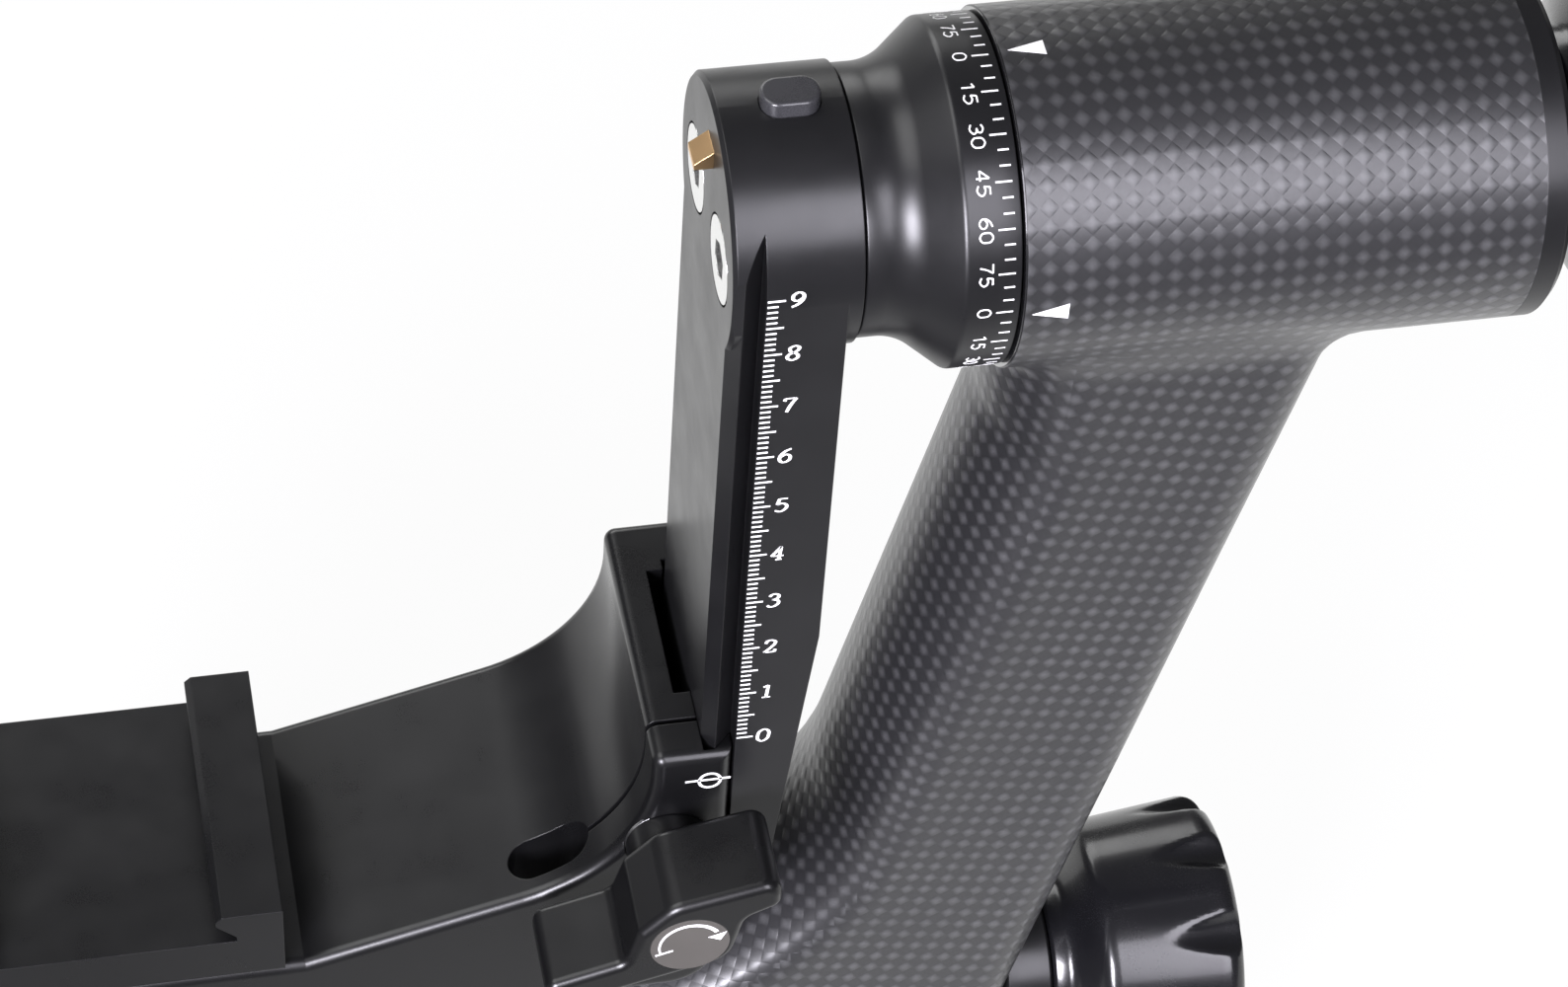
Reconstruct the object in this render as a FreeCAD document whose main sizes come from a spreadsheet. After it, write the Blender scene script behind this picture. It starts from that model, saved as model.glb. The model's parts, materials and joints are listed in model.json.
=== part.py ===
"""Gimbal head for long lenses: pan base, carbon side arm, tilt hub, swing arm and sliding cradle.

The origin is the centre of the tripod thread at the base's underside. Z is the pan axis, pointing up.
The tilt axis runs along X, and the cradle's clamp lever faces -Y. Lengths are in millimetres.
"""
import FreeCAD, Part
import math
import os
import re
import Sketcher

V = FreeCAD.Vector
AXES = {"X": V(1, 0, 0), "Y": V(0, 1, 0), "Z": V(0, 0, 1)}

# Driving sizes, one cell each
SIZES = {
    # clearances, and how far a cutter reaches past a face
    "overcut": 1, "slack": 0.3, "run_gap": 0.05, "seat_gap": 0.02, "slide_gap": 0.1,
    # height of the tilt axis
    "tilt_height": 214,
    # base plate, tripod thread and spindle
    "base_radius": 31, "base_thick": 9, "base_chamfer": 1, "thread_radius": 3.969,
    "insert_radius": 7, "insert_lip_radius": 9, "insert_lip": 1.5, "thread_relief": 1,
    "base_screw_radius": 2, "base_screw_head": 3.8, "base_screw_circle": 14, "base_screw_count": 3,
    "base_head_sink": 0.4, "base_head_tall": 3, "base_socket": 3, "base_socket_deep": 1.7,
    "flange_radius": 20, "flange_thick": 5, "shoulder_tall": 2, "shoulder_radius": 12,
    "bearing_span": 20, "spindle_nut_radius": 13, "nut_tall": 3, "spindle_thread_radius": 8,
    "nut_slot": 3, "nut_slot_deep": 1.5,
    # ball bearing, the same size at both axes
    "race_bore": 10, "race_radius": 18.5, "race_wide": 9, "race_wall": 2.6, "ball_radius": 1.6,
    "ball_count": 14,
    # pan housing and its cap
    "pan_gap": 0.6, "housing_radius": 26, "housing_skirt": 3.6, "housing_lip_radius": 16.3,
    "cap_thick": 2.6, "cap_radius": 28.5, "cap_edge": 1,
    # carbon arm
    "eye_round": 5, "eye_edge": 1, "beam_half_wide": 18,
    "leg_half": 22.1, "leg_lean": 12.73, "leg_bend": 49.9, "inner_bend": 35, "outer_bend": 17,
    "section_round": 16, "carbon_wall": 3,
    # tube at the tilt axis
    "tube_start": 125.75, "tube_radius": 24.4, "tube_wall": 2.2,
    "rim_wide": 0.25, "rim_inset": 0.2, "lip_wide": 1, "liner_lip_radius": 16.3,
    "tilt_bearing_inset": 1.3, "tilt_span": 41,
    "end_cap_thick": 4, "end_boss_radius": 9, "end_boss_tall": 3, "end_screw_radius": 1,
    "end_screw_count": 3, "end_screw_deep": 6, "end_head_tall": 1.6, "end_head_sink": 0.4,
    "end_web": 2.2,
    # hub and tilt shaft
    "hub_start": 105.4, "hub_neck": 18.6, "neck_long": 4.3, "flare_long": 9.2, "dial_radius": 23.7,
    "dial_gap": 0.5, "shaft_flange_radius": 16, "shaft_flange_thick": 3.5, "hub_floor": 14,
    "hub_screw_radius": 1.5, "hub_screw_head": 2.6, "hub_screw_circle": 13.1, "hub_screw_count": 4,
    "hub_screw_deep": 6, "hub_head_tall": 1.8,
    # swing arm
    "arm_face": 88, "arm_half": 19, "arm_back": 103.5, "arm_bottom": 83.7, "arm_taper_top": 146.7,
    "arm_taper": 5.2, "rail_half": 15.5, "ridge_half": 18.4, "groove_wall": 92.4,
    "groove_half": 15.6, "arm_screw_head": 6, "arm_screw_deep": 5, "arm_screw_radius": 3,
    "arm_screw_offset": 8.75, "arm_screw_long": 24, "socket_across": 5, "socket_deep": 3,
    "screw_ring": 0.35, "arm_edge": 0.6,
    # release button and safety pin
    "button_x": 98.1, "button_long": 8, "button_wide": 5.5, "button_round": 2.5, "button_rise": 2.1,
    "button_edge": 0.5,
    "button_deep": 3.1, "button_travel": 2.3, "stem_radius": 1.2, "stem_x": 99.5, "stem_long": 12,
    "spring_radius": 2, "spring_wall": 0.5, "spring_deep": 7,
    "pin_low": 10.3, "pin_high": 13.1, "pin_half": 2.2, "pin_out": 2.6, "pin_body": 3,
    "pin_tongue": 3.5, "pin_tongue_tall": 2.2, "pin_nose": 0.9,
    # cradle bracket
    "jaw_front": 19.7, "bracket_back": 26.6, "wall_top": 123.2, "wall_face": 80.4, "wall_fillet": 26,
    "slope_drop": 0.29, "slope_x": 32, "slope_z": 84.9, "seat_top": 84, "seat_low": 72,
    "bracket_low": 67, "low_start": 60, "seat_left": -30, "seat_right": 28, "low_round": 8,
    "knee_round": 20,
    "edge_round": 1.8, "slit_wide": 0.8, "slit_y": -12.6, "pill_left": 60.4, "pill_long": 12, "pill_wide": 7,
    "pill_y": -12.7, "relief_deep": 2.5, "relief_low_y": -7.4, "relief_high_y": 16.6,
    "relief_low": 90,
    # clamp lever
    "lever_x": 83.1, "lever_z": 104, "lever_hub": 6.3, "lever_recess": 6.46, "recess_deep": 0.7,
    "washer_thick": 0.5, "lever_hub_tall": 4.3, "lever_wing_thick": 15, "bolt_radius": 3,
    "bolt_long": 26, "bolt_proud": 13, "bush_wall": 1.5, "badge_radius": 5.85, "badge_thick": 1,
    "lever_edge": 1.4,
    # lens clamp
    "clamp_left": -20, "clamp_right": 26, "clamp_floor": 8, "jaw_tall": 14, "plate_half": 19.1,
    "lip_rise": 1, "lip_slope": 3, "jaw_left": -32, "jaw_edge": 1, "clamp_bolt_radius": 3,
    "bolt_recess": 1, "bolt_cover": 4, "guide_inset": 1,
    "guide_offset": 14, "guide_radius": 1.75, "guide_long": 32, "jaw_spring_radius": 2.7,
    "jaw_spring_wall": 0.7, "jaw_spring_long": 6, "clamp_screw_radius": 2.5, "clamp_screw_head": 4.2,
    "clamp_screw_sink": 5, "clamp_screw_x": 13, "clamp_screw_y": 7, "clamp_screw_mid": 2,
    "clamp_screw_cover": 1.5, "clamp_head_sink": 0.5, "clamp_socket": 4, "clamp_socket_deep": 2.5,
    # knobs
    "pan_knob_start": 150.3, "pan_knob_long": 29.7, "pan_knob_radius": 23, "pan_neck_radius": 14,
    "knob_flutes": 10, "flute_small": 0.4, "flute_large": 4.2, "knob_round": 2, "knob_waist": 2,
    "knob_neck_long": 6, "knob_shoulder": 2, "knob_ease": 0.6, "knob_cap_thick": 1.2,
    "stud_radius": 4,
    "tilt_knob_gap": 0.6, "tilt_knob_long": 28, "tilt_knob_radius": 26, "tilt_neck_radius": 15,
    "lens_knob_long": 18, "lens_knob_radius": 13, "lens_neck_radius": 8,
    "bushing_radius": 8, "bushing_collar": 13, "bushing_collar_thick": 7.6, "bushing_long": 16,
    "collar_edge": 0.4,
    "brake_rod_radius": 3, "shoe_radius": 5, "shoe_long": 6, "shoe_gap": 0.5, "pad_radius": 7.5,
    "pad_thick": 3.95, "stud_inset": 3,
}

# Levels and places that follow from the driving sizes
PLACES = {
    "bearing_low": "base_thick + flange_thick + shoulder_tall",
    "bearing_high": "bearing_low + race_wide + bearing_span",
    "nut_low": "bearing_high + race_wide",
    "spindle_top": "nut_low + nut_tall",
    "housing_low": "base_thick + pan_gap",
    "housing_top": "spindle_top + slack",
    "beam_low": "housing_low + housing_skirt",
    "beam_high": "housing_top - slide_gap",
    "lock_height": "(beam_low + beam_high) / 2",
    "eye_radius": "base_radius",
    "leg_top": "tube_start + leg_half / cos(leg_lean) + leg_bend * tan(leg_lean)",
    "leg_foot": "leg_top - (tilt_height - lock_height) * tan(leg_lean)",
    "liner_radius": "tube_radius - tube_wall",
    "left_bearing": "tube_start + tilt_bearing_inset",
    "right_bearing": "left_bearing + race_wide + tilt_span",
    "shaft_nut_x": "right_bearing + race_wide",
    "shaft_end": "shaft_nut_x + nut_tall",
    "hub_end": "tube_start - dial_gap",
    "flange_x": "hub_start + hub_floor",
    "pad_x": "shaft_end + shoe_gap",
    "web_x": "pad_x + pad_thick + slack",
    "tube_end": "web_x + end_web",
    "tube_long": "tube_end - tube_start",
    "pin_top": "tilt_height + pin_high",
    "arm_top": "tilt_height + arm_half",
    "button_low": "arm_top + button_rise - button_long_z",
    "button_long_z": "button_rise + button_deep",
    "inner_wall": "arm_face - slide_gap",
    "ridge_x": "groove_wall - (ridge_half - groove_half)",
    "jaw_end": "groove_wall - slack",
    "cradle_mid": "(bracket_back - jaw_front) / 2",
    "knee_x": "slope_x - (slope_z - seat_top) / slope_drop",
    "foot_z": "slope_z + slope_drop * (wall_face - slope_x)",
    "clamp_top": "seat_top + jaw_tall",
    "floor_z": "seat_top + clamp_floor",
    "bolt_z": "seat_top + clamp_floor / 2",
    "lever_back": "-jaw_front + recess_deep - washer_thick",
    "wing_back": "lever_back - lever_hub_tall",
    "wing_front": "wing_back - lever_wing_thick",
    "pan_knob_end": "pan_knob_start + pan_knob_long",
    "tilt_knob_start": "tube_end + end_cap_thick + end_boss_tall + tilt_knob_gap",
    "collar_x": "pan_knob_start - slack - bushing_collar_thick",
    "shoe_x": "race_bore + shoe_gap",
}

doc = FreeCAD.newDocument("GimbalHead")
sheet = doc.addObject("Spreadsheet::Sheet", "Sizes")
for row, (alias, size) in enumerate(SIZES.items(), start=1):
    sheet.set("A%d" % row, alias)
    sheet.set("B%d" % row, str(size))
    sheet.setAlias("B%d" % row, alias)
doc.recompute()


def spelled(text):
    """Write out every named place in an expression, down to driving sizes."""
    def swap(found):
        word = found.group(0)
        return "(" + spelled(PLACES[word]) + ")" if word in PLACES else word
    return re.sub(r"[a-z_]+", swap, text)


def ref(text):
    """The expression as another object of the document reads it from the sheet."""
    def swap(found):
        word = found.group(0)
        return "Sizes." + word if word in SIZES else word
    return re.sub(r"[a-z_]+", swap, spelled(text))


def value(text):
    """The expression's number now."""
    return float(sheet.evalExpression(spelled(text)))


def put(obj, at):
    """Tie an object's place to three expressions."""
    for letter, text in zip("xyz", at):
        obj.setExpression("Placement.Base." + letter, ref(text))
    return obj


def rod(name, axis, radius, length, at):
    """A cylinder that starts at a point and runs along an axis."""
    obj = doc.addObject("Part::Cylinder", name)
    obj.setExpression("Radius", ref(radius))
    obj.setExpression("Height", ref(length))
    obj.Placement = FreeCAD.Placement(V(), FreeCAD.Rotation(AXES["Z"], AXES[axis]))
    return put(obj, at)


def block(name, low, high):
    """A box between two corners."""
    obj = doc.addObject("Part::Box", name)
    for side, one, two in zip(("Length", "Width", "Height"), low, high):
        obj.setExpression(side, ref("(%s) - (%s)" % (two, one)))
    return put(obj, low)


def ball(name, radius, at):
    """A sphere about a point."""
    obj = doc.addObject("Part::Sphere", name)
    obj.setExpression("Radius", ref(radius))
    return put(obj, at)


def joined(name, *parts):
    """Several solids made one."""
    obj = doc.addObject("Part::MultiFuse", name)
    obj.Shapes = list(parts)
    return obj


def group(name, parts):
    """Separate solids that are one kind of piece."""
    obj = doc.addObject("Part::Compound", name)
    obj.Links = list(parts)
    return obj


def less(name, base, *tools):
    """A solid with other solids cut out of it."""
    obj = doc.addObject("Part::Cut", name)
    obj.Base = base
    obj.Tool = tools[0] if len(tools) == 1 else joined(name + "_cutters", *tools)
    return obj


def around(count):
    """Cosine and sine, as expression text, of evenly spaced directions."""
    turns = [360.0 * step / count for step in range(count)]
    return [("cos(%.6f)" % turn, "sin(%.6f)" % turn) for turn in turns]


def outlined(body, plane, points, offset="0"):
    """A closed sketch of straight lines on one of the body's own planes."""
    sketch = body.newObject("Sketcher::SketchObject", body.Name + "_outline")
    home = [one for one in body.Origin.OriginFeatures if one.Role == plane][0]
    sketch.AttachmentSupport = [(home, "")]
    sketch.MapMode = "FlatFace"
    sketch.setExpression("AttachmentOffset.Base.z", ref(offset))
    spots = [V(value(across), value(up), 0) for across, up in points]
    for one, two in zip(spots, spots[1:] + spots[:1]):
        sketch.addGeometry(Part.LineSegment(one, two), False)
    for index in range(len(spots)):
        following = (index + 1) % len(spots)
        sketch.addConstraint(Sketcher.Constraint("Coincident", index, 2, following, 1))
    for index, (across, up) in enumerate(points):
        for kind, text in (("DistanceX", across), ("DistanceY", up)):
            held = Sketcher.Constraint(kind, -1, 1, index, 1, value(text))
            number = sketch.addConstraint(held)
            sketch.setExpression("Constraints[%d]" % number, ref(text))
    return sketch


def turned(name, axis, profile, at=("0", "0", "0"), facing=None):
    """A turned piece: its half section is given as (along, radius) pairs."""
    body = doc.addObject("PartDesign::Body", name)
    plane = "YZ_Plane" if axis == "Y" else "XZ_Plane"
    points = [(radius, along) for along, radius in profile] if axis == "Z" else profile
    sketch = outlined(body, plane, points)
    turn = body.newObject("PartDesign::Revolution", name + "_turn")
    turn.Profile = sketch
    turn.ReferenceAxis = (sketch, ["V_Axis" if axis == "Z" else "H_Axis"])
    turn.Angle = 360
    if facing:
        body.Placement = FreeCAD.Placement(V(), facing)
    return put(body, at)


def padded(name, plane, points, low, high):
    """A straight block: an outline drawn out along its plane's normal, from low to high."""
    body = doc.addObject("PartDesign::Body", name)
    start = "-(%s)" % high if plane == "XZ_Plane" else low
    sketch = outlined(body, plane, points, start)
    pad = body.newObject("PartDesign::Pad", name + "_pad")
    pad.Profile = sketch
    pad.setExpression("Length", ref("(%s) - (%s)" % (high, low)))
    doc.recompute()
    return body


def rounded(body, radius, wanted):
    """Round the edges of a body that a test picks out."""
    base = body.Tip
    names = ["Edge%d" % number for number, edge in enumerate(base.Shape.Edges, start=1) if wanted(edge)]
    fillet = body.newObject("PartDesign::Fillet", body.Name + "_round")
    fillet.Base = (base, names)
    fillet.setExpression("Radius", ref(radius))
    doc.recompute()
    return fillet


def across_corner(spots):
    """A test for edges along Y that stand on given (x, z) corners."""
    corners = [(value(x), value(z)) for x, z in spots]

    def wanted(edge):
        one, two = edge.Vertexes[0].Point, edge.Vertexes[-1].Point
        straight = abs(one.x - two.x) < 1e-6 and abs(one.z - two.z) < 1e-6
        return straight and any(math.hypot(one.x - x, one.z - z) < 1e-4 for x, z in corners)
    return wanted


def on_level(letter, text):
    """A test for edges that lie in a plane across one axis."""
    level = value(text)

    def wanted(edge):
        spots = [vertex.Point for vertex in edge.Vertexes] + [edge.CenterOfMass]
        return all(abs(getattr(spot, letter) - level) < 1e-4 for spot in spots)
    return wanted


def ring(name, axis, inner, outer, low, high, centre=("0", "0", "0")):
    """A plain tube, such as a race, a bush or a washer."""
    profile = [(low, inner), (high, inner), (high, outer), (low, outer)]
    return turned(name, axis, profile, centre)


def along(axis, low, centre):
    """A point at a height along an axis, off centre by two expressions in X, Y, Z order."""
    spots = list(centre)
    spots.insert("XYZ".index(axis), low)
    return spots


def screw(name, axis, centre, shank, head):
    """A round shank and a round head, each given as (radius, low, high) along the axis."""
    parts = []
    for word, (radius, low, high) in (("_shank", shank), ("_head", head)):
        long = "(%s) - (%s)" % (high, low)
        parts.append(rod(name + word, axis, radius, long, along(axis, low, centre)))
    return joined(name, *parts)


def screw_holes(name, axis, centres, shank, head):
    """Clearance holes for screws of the same measures, a small gap wider."""
    holes = []
    for number, centre in enumerate(centres, start=1):
        for word, (radius, low, high) in (("_hole", shank), ("_sink", head)):
            long = "(%s) - (%s)" % (high, low)
            wide = radius + " + seat_gap"
            tag = "%s%s%d" % (name, word, number)
            holes.append(rod(tag, axis, wide, long, along(axis, low, centre)))
    return holes


def hex_prism(name, axis, across, length, at):
    """A six-sided prism, as a socket or a nut."""
    obj = doc.addObject("Part::Prism", name)
    obj.Polygon = 6
    obj.setExpression("Circumradius", ref("(%s) / sqrt(3)" % across))
    obj.setExpression("Height", ref(length))
    obj.Placement = FreeCAD.Placement(V(), FreeCAD.Rotation(AXES["Z"], AXES[axis]))
    return put(obj, at)


def spread(radius, count):
    """Centres evenly round a circle, as expression pairs."""
    return [("(%s) * %s" % (radius, cosine), "(%s) * %s" % (radius, sine))
            for cosine, sine in around(count)]


def raised(centres, level):
    """The same centres with the second coordinate lifted."""
    return [(one, "%s + (%s)" % (two, level)) for one, two in centres]


# Ball bearings, two at each axis
def bearing_set(axis, starts, level):
    """Inner races, outer races and balls of the two bearings on one axis."""
    inner, outer, balls = [], [], []
    inner_top = "race_bore + race_wall"
    outer_low = "race_radius - race_wall"
    pitch = "(%s + %s) / 2" % (inner_top, outer_low)
    off = ("0", "0", "0") if axis == "Z" else ("0", "0", level)
    for number, start in enumerate(starts, start=1):
        tag = "%s%d" % (axis.lower(), number)
        end = start + " + race_wide"
        inner.append(ring("inner_" + tag, axis, "race_bore", inner_top, start, end, off))
        outer.append(ring("outer_" + tag, axis, outer_low, "race_radius", start, end, off))
        middle = start + " + race_wide / 2"
        for step, centre in enumerate(raised(spread(pitch, int(value("ball_count"))), level)):
            spot = along(axis, middle, centre)
            balls.append(ball("ball_%s_%d" % (tag, step), "ball_radius", spot))
    return inner, outer, balls


pan_inner, pan_outer, pan_balls = bearing_set("Z", ["bearing_low", "bearing_high"], "0")
tilt_inner, tilt_outer, tilt_balls = bearing_set("X", ["left_bearing", "right_bearing"], "tilt_height")
SOLIDS = {
    "pan_inner_races": group("pan_inner_races", pan_inner),
    "pan_outer_races": group("pan_outer_races", pan_outer),
    "pan_balls": group("pan_balls", pan_balls),
    "tilt_inner_races": group("tilt_inner_races", tilt_inner),
    "tilt_outer_races": group("tilt_outer_races", tilt_outer),
    "tilt_balls": group("tilt_balls", tilt_balls),
}


# Base plate, thread insert and the fixed spindle that the head turns on
def base_parts():
    """The pieces that stay on the tripod."""
    chamfer = "base_chamfer"
    plate = turned("base_plate_disc", "Z", [
        ("0", "insert_radius + seat_gap"), ("0", "base_radius - " + chamfer), (chamfer, "base_radius"),
        ("base_thick - " + chamfer, "base_radius"), ("base_thick", "base_radius - " + chamfer),
        ("base_thick", "insert_radius + seat_gap")])
    centres = spread("base_screw_circle", int(value("base_screw_count")))
    head_top = "base_head_sink + base_head_tall"
    head = ("base_screw_head", "base_head_sink", head_top)
    shank = ("base_screw_radius", head_top, "base_thick + flange_thick - slack")
    holes = screw_holes("base_plate", "Z", centres,
                        ("base_screw_radius", "-overcut", "base_thick + overcut"),
                        ("base_screw_head", "-overcut", head_top))
    SOLIDS["base_plate"] = less("base_plate", plate, *holes)
    SOLIDS["base_screws"] = group("base_screws", [
        less("base_screw_%d" % number, screw("base_screw_body_%d" % number, "Z", centre, shank, head),
             hex_prism("base_screw_socket_%d" % number, "Z", "base_socket",
                       "base_head_sink + base_socket_deep", along("Z", "0", centre)))
        for number, centre in enumerate(centres, start=1)])
    SOLIDS["thread_insert"] = turned("thread_insert", "Z", [
        ("0", "thread_radius"), ("0", "insert_radius"), ("base_thick", "insert_radius"),
        ("base_thick", "insert_lip_radius"), ("base_thick + insert_lip", "insert_lip_radius"),
        ("base_thick + insert_lip", "thread_radius")])
    flange_top = "base_thick + flange_thick"
    spindle = turned("spindle_shaft", "Z", [
        ("base_thick", "insert_lip_radius + seat_gap"), ("base_thick", "flange_radius"),
        (flange_top, "flange_radius"), (flange_top, "shoulder_radius"),
        ("bearing_low", "shoulder_radius"), ("bearing_low", "race_bore - seat_gap"),
        ("nut_low", "race_bore - seat_gap"), ("nut_low", "spindle_thread_radius"),
        ("spindle_top", "spindle_thread_radius"), ("spindle_top", "0"), ("bearing_low", "0"),
        ("bearing_low", "thread_radius + thread_relief"),
        ("base_thick + insert_lip + seat_gap", "thread_radius + thread_relief"),
        ("base_thick + insert_lip + seat_gap", "insert_lip_radius + seat_gap")])
    taps = screw_holes("spindle", "Z", centres, ("base_screw_radius", "0", flange_top),
                       ("base_screw_radius", "0", "base_thick + overcut"))
    SOLIDS["pan_spindle"] = less("pan_spindle", spindle, *taps)
    nut = ring("spindle_nut_ring", "Z", "spindle_thread_radius + seat_gap", "spindle_nut_radius",
               "nut_low", "spindle_top")
    slots = [block("nut_slot_%s" % letter, low, high) for letter, low, high in (
        ("x", ("-spindle_nut_radius - overcut", "-nut_slot / 2", "spindle_top - nut_slot_deep"),
         ("spindle_nut_radius + overcut", "nut_slot / 2", "spindle_top + overcut")),
        ("y", ("-nut_slot / 2", "-spindle_nut_radius - overcut", "spindle_top - nut_slot_deep"),
         ("nut_slot / 2", "spindle_nut_radius + overcut", "spindle_top + overcut")))]
    SOLIDS["spindle_nut"] = less("spindle_nut", nut, *slots)


# Pan housing that turns on the spindle, closed by a cap
def housing_parts():
    """The aluminium barrel inside the carbon eye, and its cap."""
    skirt_top = "housing_low + housing_skirt"
    barrel = turned("housing_barrel", "Z", [
        ("housing_low", "flange_radius + slack"), ("housing_low", "base_radius"),
        (skirt_top, "base_radius"), (skirt_top, "housing_radius"), ("housing_top", "housing_radius"),
        ("housing_top", "race_radius + seat_gap"), ("bearing_high", "race_radius + seat_gap"),
        ("bearing_high", "housing_lip_radius"), ("bearing_low + race_wide", "housing_lip_radius"),
        ("bearing_low + race_wide", "race_radius + seat_gap"),
        ("base_thick + flange_thick + slack", "race_radius + seat_gap"),
        ("base_thick + flange_thick + slack", "flange_radius + slack")])
    shoe_hole = rod("housing_shoe_hole", "X", "shoe_radius + run_gap", "housing_radius",
                    ("race_bore", "0", "lock_height"))
    SOLIDS["pan_housing"] = less("pan_housing", barrel, shoe_hole)
    spigot = "race_radius - seat_gap"
    SOLIDS["pan_cap"] = turned("pan_cap", "Z", [
        ("nut_low", "housing_lip_radius"), ("nut_low", spigot), ("housing_top", spigot),
        ("housing_top", "cap_radius"), ("housing_top + cap_thick - cap_edge", "cap_radius"),
        ("housing_top + cap_thick", "cap_radius - cap_edge"), ("housing_top + cap_thick", "0"),
        ("spindle_top + slack", "0"), ("spindle_top + slack", "housing_lip_radius")])


# Carbon arm: a level beam, a leaning leg and the tube across its top
def arm_form(name, inset, left, top):
    """The beam and leg as one rounded form, drawn in by an inset."""
    half = "(leg_half - %s) / cos(leg_lean)" % inset

    def leg_x(level, side):
        return "leg_foot + (%s - lock_height) * tan(leg_lean) %s %s" % (level, side, half)
    low = "beam_low + %s" % inset
    high = "beam_high - %s" % inset
    upright = "tube_start + %s" % inset
    bend_z = "tilt_height - (leg_top - %s - %s) / tan(leg_lean)" % (upright, half)
    inner = (leg_x(high, "-"), high)
    outer = (leg_x(low, "+"), low)
    bend = (upright, bend_z)
    points = [(left, low), outer, (leg_x(top, "+"), top), (upright, top), bend, inner, (left, high)]
    wide = "beam_half_wide - %s" % inset
    form = padded(name, "XZ_Plane", points, "-(%s)" % wide, wide)
    rounded(form, "inner_bend + %s" % inset, across_corner([inner]))
    rounded(form, "outer_bend - %s" % inset, across_corner([outer]))
    edge_y = value(wide)
    ends = [value(left), value(top)]

    def long_edge(edge):
        points = [vertex.Point for vertex in edge.Vertexes]
        on_face = all(abs(abs(spot.y) - edge_y) < 1e-4 for spot in points)
        same_side = points[0].y * points[-1].y > 0
        at_end = all(abs(spot.x - ends[0]) < 1e-4 for spot in points)
        at_end = at_end or all(abs(spot.z - ends[1]) < 1e-4 for spot in points)
        return on_face and same_side and not at_end
    rounded(form, "section_round - %s" % inset, long_edge)
    return form


def carbon_arm():
    """One hollow carbon piece from the pan eye to the tilt tube."""
    outside = arm_form("arm_outside", "0", "0", "tilt_height")
    top = "tilt_height - tube_radius - carbon_wall"
    inside = arm_form("arm_inside", "carbon_wall", "eye_radius", top)
    boss = rod("arm_boss", "X", "bushing_radius + carbon_wall", "outer_bend + leg_half",
               ("collar_x - bushing_long - carbon_wall", "0", "lock_height"))
    hollow = less("arm_hollow", inside, boss)
    eye = turned("arm_eye", "Z", [
        ("beam_low", "0"), ("beam_low", "eye_radius - eye_edge"), ("beam_low + eye_edge", "eye_radius"),
        ("beam_high - eye_round", "eye_radius"), ("beam_high - eye_round / 3", "eye_radius - eye_round / 3"),
        ("beam_high", "eye_radius - eye_round + eye_edge"), ("beam_high", "0")])
    tube = rod("arm_tube", "X", "tube_radius", "tube_long", ("tube_start", "0", "tilt_height"))
    whole = joined("arm_whole", outside, eye, tube)
    cutters = [
        hollow,
        rod("arm_eye_bore", "Z", "housing_radius + seat_gap", "beam_high - beam_low + 2 * overcut",
            ("0", "0", "beam_low - overcut")),
        rod("arm_tube_bore", "X", "liner_radius + seat_gap", "tube_long + 2 * overcut",
            ("tube_start - overcut", "0", "tilt_height")),
        rod("arm_rod_bore", "X", "brake_rod_radius + slack", "collar_x", ("0", "0", "lock_height")),
        rod("arm_bushing_bore", "X", "bushing_radius + seat_gap", "bushing_long + leg_half",
            ("collar_x - bushing_long", "0", "lock_height")),
        rod("arm_spot_face", "X", "bushing_collar + slack", "leg_half",
            ("collar_x", "0", "lock_height")),
    ]
    SOLIDS["carbon_arm"] = less("carbon_arm", whole, *cutters)


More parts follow.
